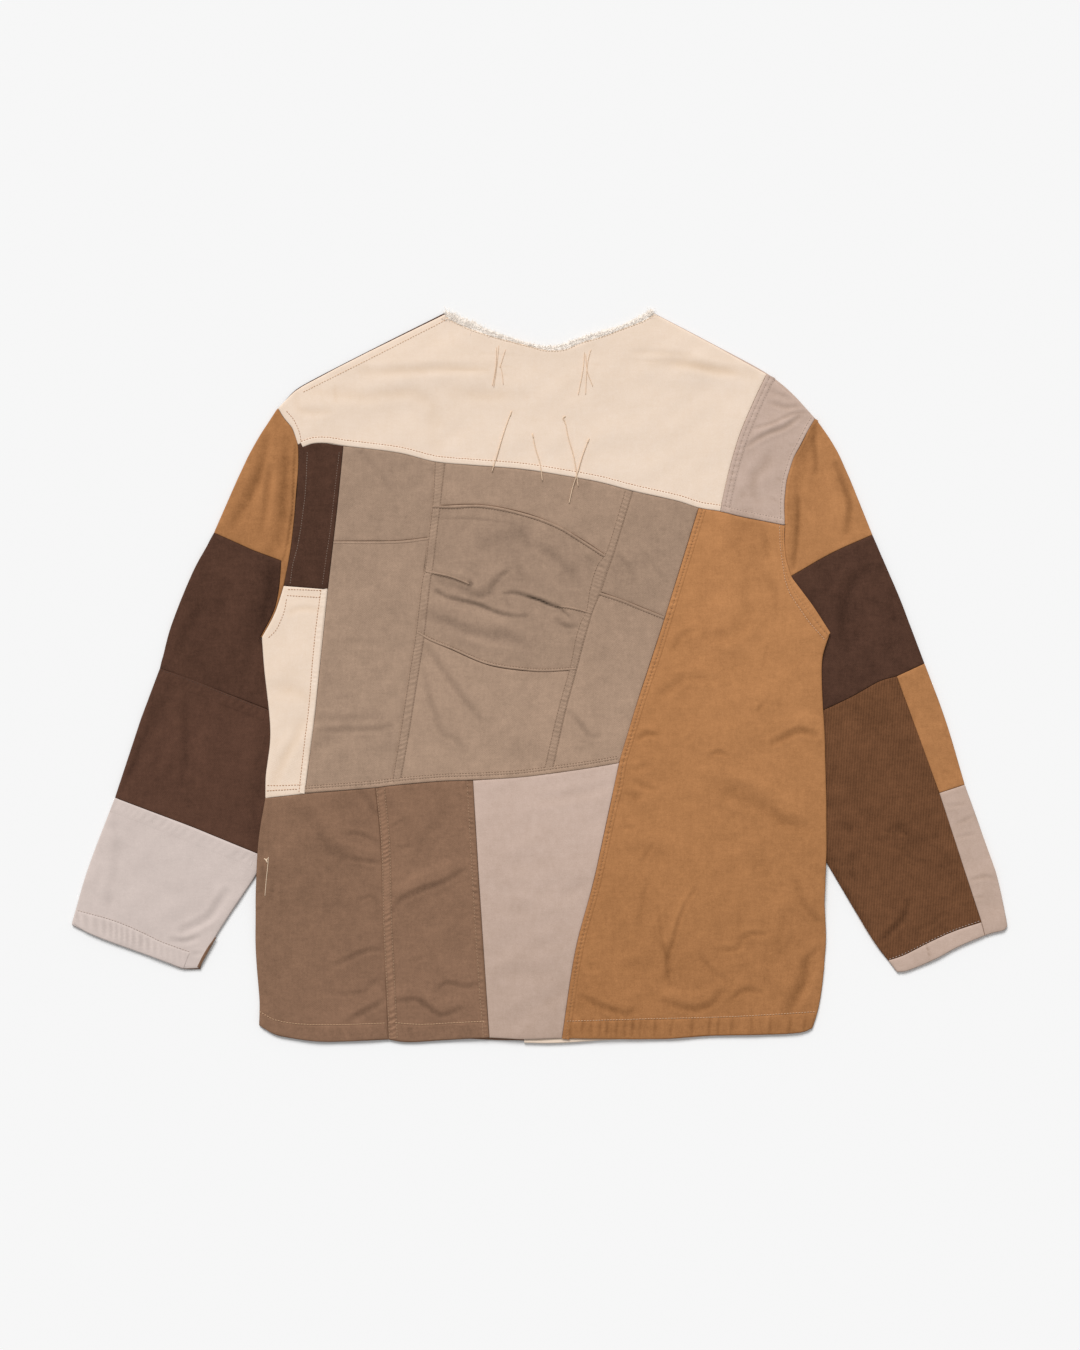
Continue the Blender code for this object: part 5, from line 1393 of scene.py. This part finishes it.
add_band(
    "cuff_left_top", sleeve, "sleeve_l_cuff", CUFF_L_SEAM, 14.0, 0.1, (), (0.1, 8.0), (0.0, 0.025, 0.0),
    (0.2, 0.0))
add_band(
    "cuff_left_facing", sleeve, "sleeve_l_under", CUFF_L_FACING, CUFF_L_FACING_INNER, 0.2, (),
    (0.0, 5.0), (-0.3, 0.0, 0.0), (0.3, 0.1))

add_stitches("stitches_tonal", "taupe", back, [
    (FELL_LEFT, 0.2), (FELL_LEFT_INNER, 0.2), (FELL_RIGHT, 0.2), (FELL_RIGHT_INNER, 0.2),
    (offset_line(KNEE_TOP, 2.7), 0.45), (offset_line(KNEE_LOW, -2.7), 0.45),
    (offset_line(DART_LEFT, 2.6), 0.4), (offset_line(DART_RIGHT, 2.2), 0.4),
    (offset_line(FLANK, 2.7), 0.28), (offset_line(TAUPE_LOW, -4.4), 0.35),
    (offset_line(TAUPE_LOW, -6.9), 0.3)])
add_stitches("stitches_gold", "gold", back, [
    (offset_line(YOKE_LOW, -6.0), 0.35), ([(286.5, 411), (294, 420), (300, 434), (301.5, 444)], 0.1),
    ([(288, 589.6), (305, 590), (321.5, 590.6)], 0.1),
    ([(286.8, 595.6), (300, 596.4), (326.7, 598)], 0.1),
    ([(286.9, 599), (284.9, 610.5), (281, 621.3), (276.4, 630.4), (268.8, 638)], 0.1),
    ([(267.4, 785.4), (285, 785.2), (303, 784.6)], 0.1), ([(267, 790.6), (298, 788.8)], 0.15),
    (STRIP_ROW, 0.2)])
add_stitches("stitches_shoulder", "light", back, [
    ([(448.4, 318.7), (441, 322.7), (374, 357), (303, 392.5)], 0.15)])
add_stitches("stitches_neck", "cream", back, [(offset_line(NECK, 1.2), 0.1)], radius=0.28)
add_stitches("stitches_mauve", "dusty", back, [
    (offset_line(YOKE_END_SEAM, -3.8), 0.22), (offset_line(YOKE_END_SEAM, -8.2), 0.22),
    (offset_line(YOKE_END_LOW, -6.0), 0.32), (offset_line(YOKE_END_LOW, -2.6), 0.38),
    (offset_line(ARMHOLE_MAUVE, 3.4), 0.2)], length=1.8, radius=0.28)
add_stitches("stitches_dusty", "dusty", back, [
    ([(307.5, 452), (306, 486), (303.5, 510), (300.5, 531), (297, 550), (293, 565), (290.5, 584)],
     0.05),
    ([(339.5, 452), (335, 490), (330.5, 530), (326, 560), (322.5, 585)], -0.2)],
    pitch=2.6, length=1.5, radius=0.3)
add_stitches("stitches_light", "light", back, [
    (HEM_BROWN_LEFT_STITCH, 0.4), (HEM_BROWN_RIGHT_STITCH, 0.4), (HEM_TAN_STITCH, 0.35),
    (ARMHOLE_TAN_ROW, 0.3)], radius=0.38)
add_stitches("stitches_dull", "dull", back, [
    (offset_line(BROWN_FELL, -1.2), 0.35), (offset_line(BROWN_FELL, -8.8), 0.35),
    (offset_line(BROWN_EDGE, 5.8), 0.35)])
add_stitches("stitches_tan", "tan", back, [
    (offset_line(TAN_EDGE, -3.8), 0.4), (ARMHOLE_TAN_INNER, 0.3)])
add_stitches("stitches_pale", "pale", sleeve, [(CUFF_L_STITCH, 0.2)])
add_stitches("stitches_dark", "dark", sleeve, [(offset_line(MID_SEAM, 1.4), 0.2)])
add_stitches("stitches_cuff", "pale", sleeve, [
    ([(888.2, 959.2), (902.9, 953.7), (928.4, 941), (953.9, 929.6), (979.5, 920.6)], 0.1)],
    pitch=3.4, length=1.9, radius=0.26)

add_threads("hand_threads", "hand", back, [
    (0.46, [(511.2, 412.8, 0.4), (507, 424, 0.5), (503.5, 434.4, 0.7), (496.5, 457.4, 1.3),
            (492, 472, 0.9)]),
    (0.46, [(532.9, 435.7, 0.4), (535.4, 448.5, 0.7), (539.9, 463.8, 1.3), (542.4, 481, 0.9)]),
    (0.46, [(563.6, 420, 0.5), (565.4, 424, 0.6), (568, 437, 0.7), (573.7, 457.4, 1.2),
            (578.2, 486.7, 1.0)]),
    (0.46, [(588.4, 440.2, 0.4), (582, 457.4, 0.9), (576.3, 476.5, 1.5), (572.6, 487.7, 1.1),
            (569, 503.5, 0.7)]),
    (0.65, [(511.6, 411.5, 0.4), (510.2, 416.5, 0.4)]),
    (0.65, [(532.4, 434, 0.4), (533.4, 438.5, 0.4)]),
    (0.6, [(565.4, 416.6, 0.4), (562.8, 418.6, 0.5), (564.6, 421.6, 0.4)]),
    (0.7, [(589.0, 439, 0.4), (587.4, 443.2, 0.4)]),
    (0.32, [(498.8, 346, 0.3), (497, 365, 0.5), (493.8, 387.5, 0.4)]),
    (0.32, [(496.5, 348, 0.3), (496, 366, 0.5), (492.6, 386, 0.3)]),
    (0.32, [(505.7, 350, 0.3), (502.5, 360, 0.4), (500, 368, 0.3)]),
    (0.32, [(500.2, 365, 0.3), (502.2, 374, 0.4), (503.3, 385, 0.3)]),
    (0.32, [(584.5, 352.5, 0.3), (583, 370, 0.5), (578.2, 395.3, 0.3)]),
    (0.32, [(591, 350, 0.3), (588.6, 358, 0.5), (587, 368, 0.4), (585.5, 395, 0.3)]),
    (0.32, [(585.5, 355, 0.3), (587, 371, 0.5), (592.6, 386.7, 0.3)])])
fray = add_fray("neck_fray_threads", back, NECK, FRAY_TIPS, FRAY_COUNT)
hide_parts("neck_fray")
add_threads("tack_thread", "cream", back, [
    (0.55, [(264.6, 858.3, 0.4), (266.6, 859.2, 0.6), (268.9, 858.3, 0.5)]),
    (0.75, [(266.6, 859, 0.5), (267.8, 862.2, 0.4)]),
    (0.36, [(269, 856.6, 0.5), (268.3, 866, 0.4), (266.8, 880, 0.5), (265.5, 895.5, 0.2)])])

add_camera()
add_studio()
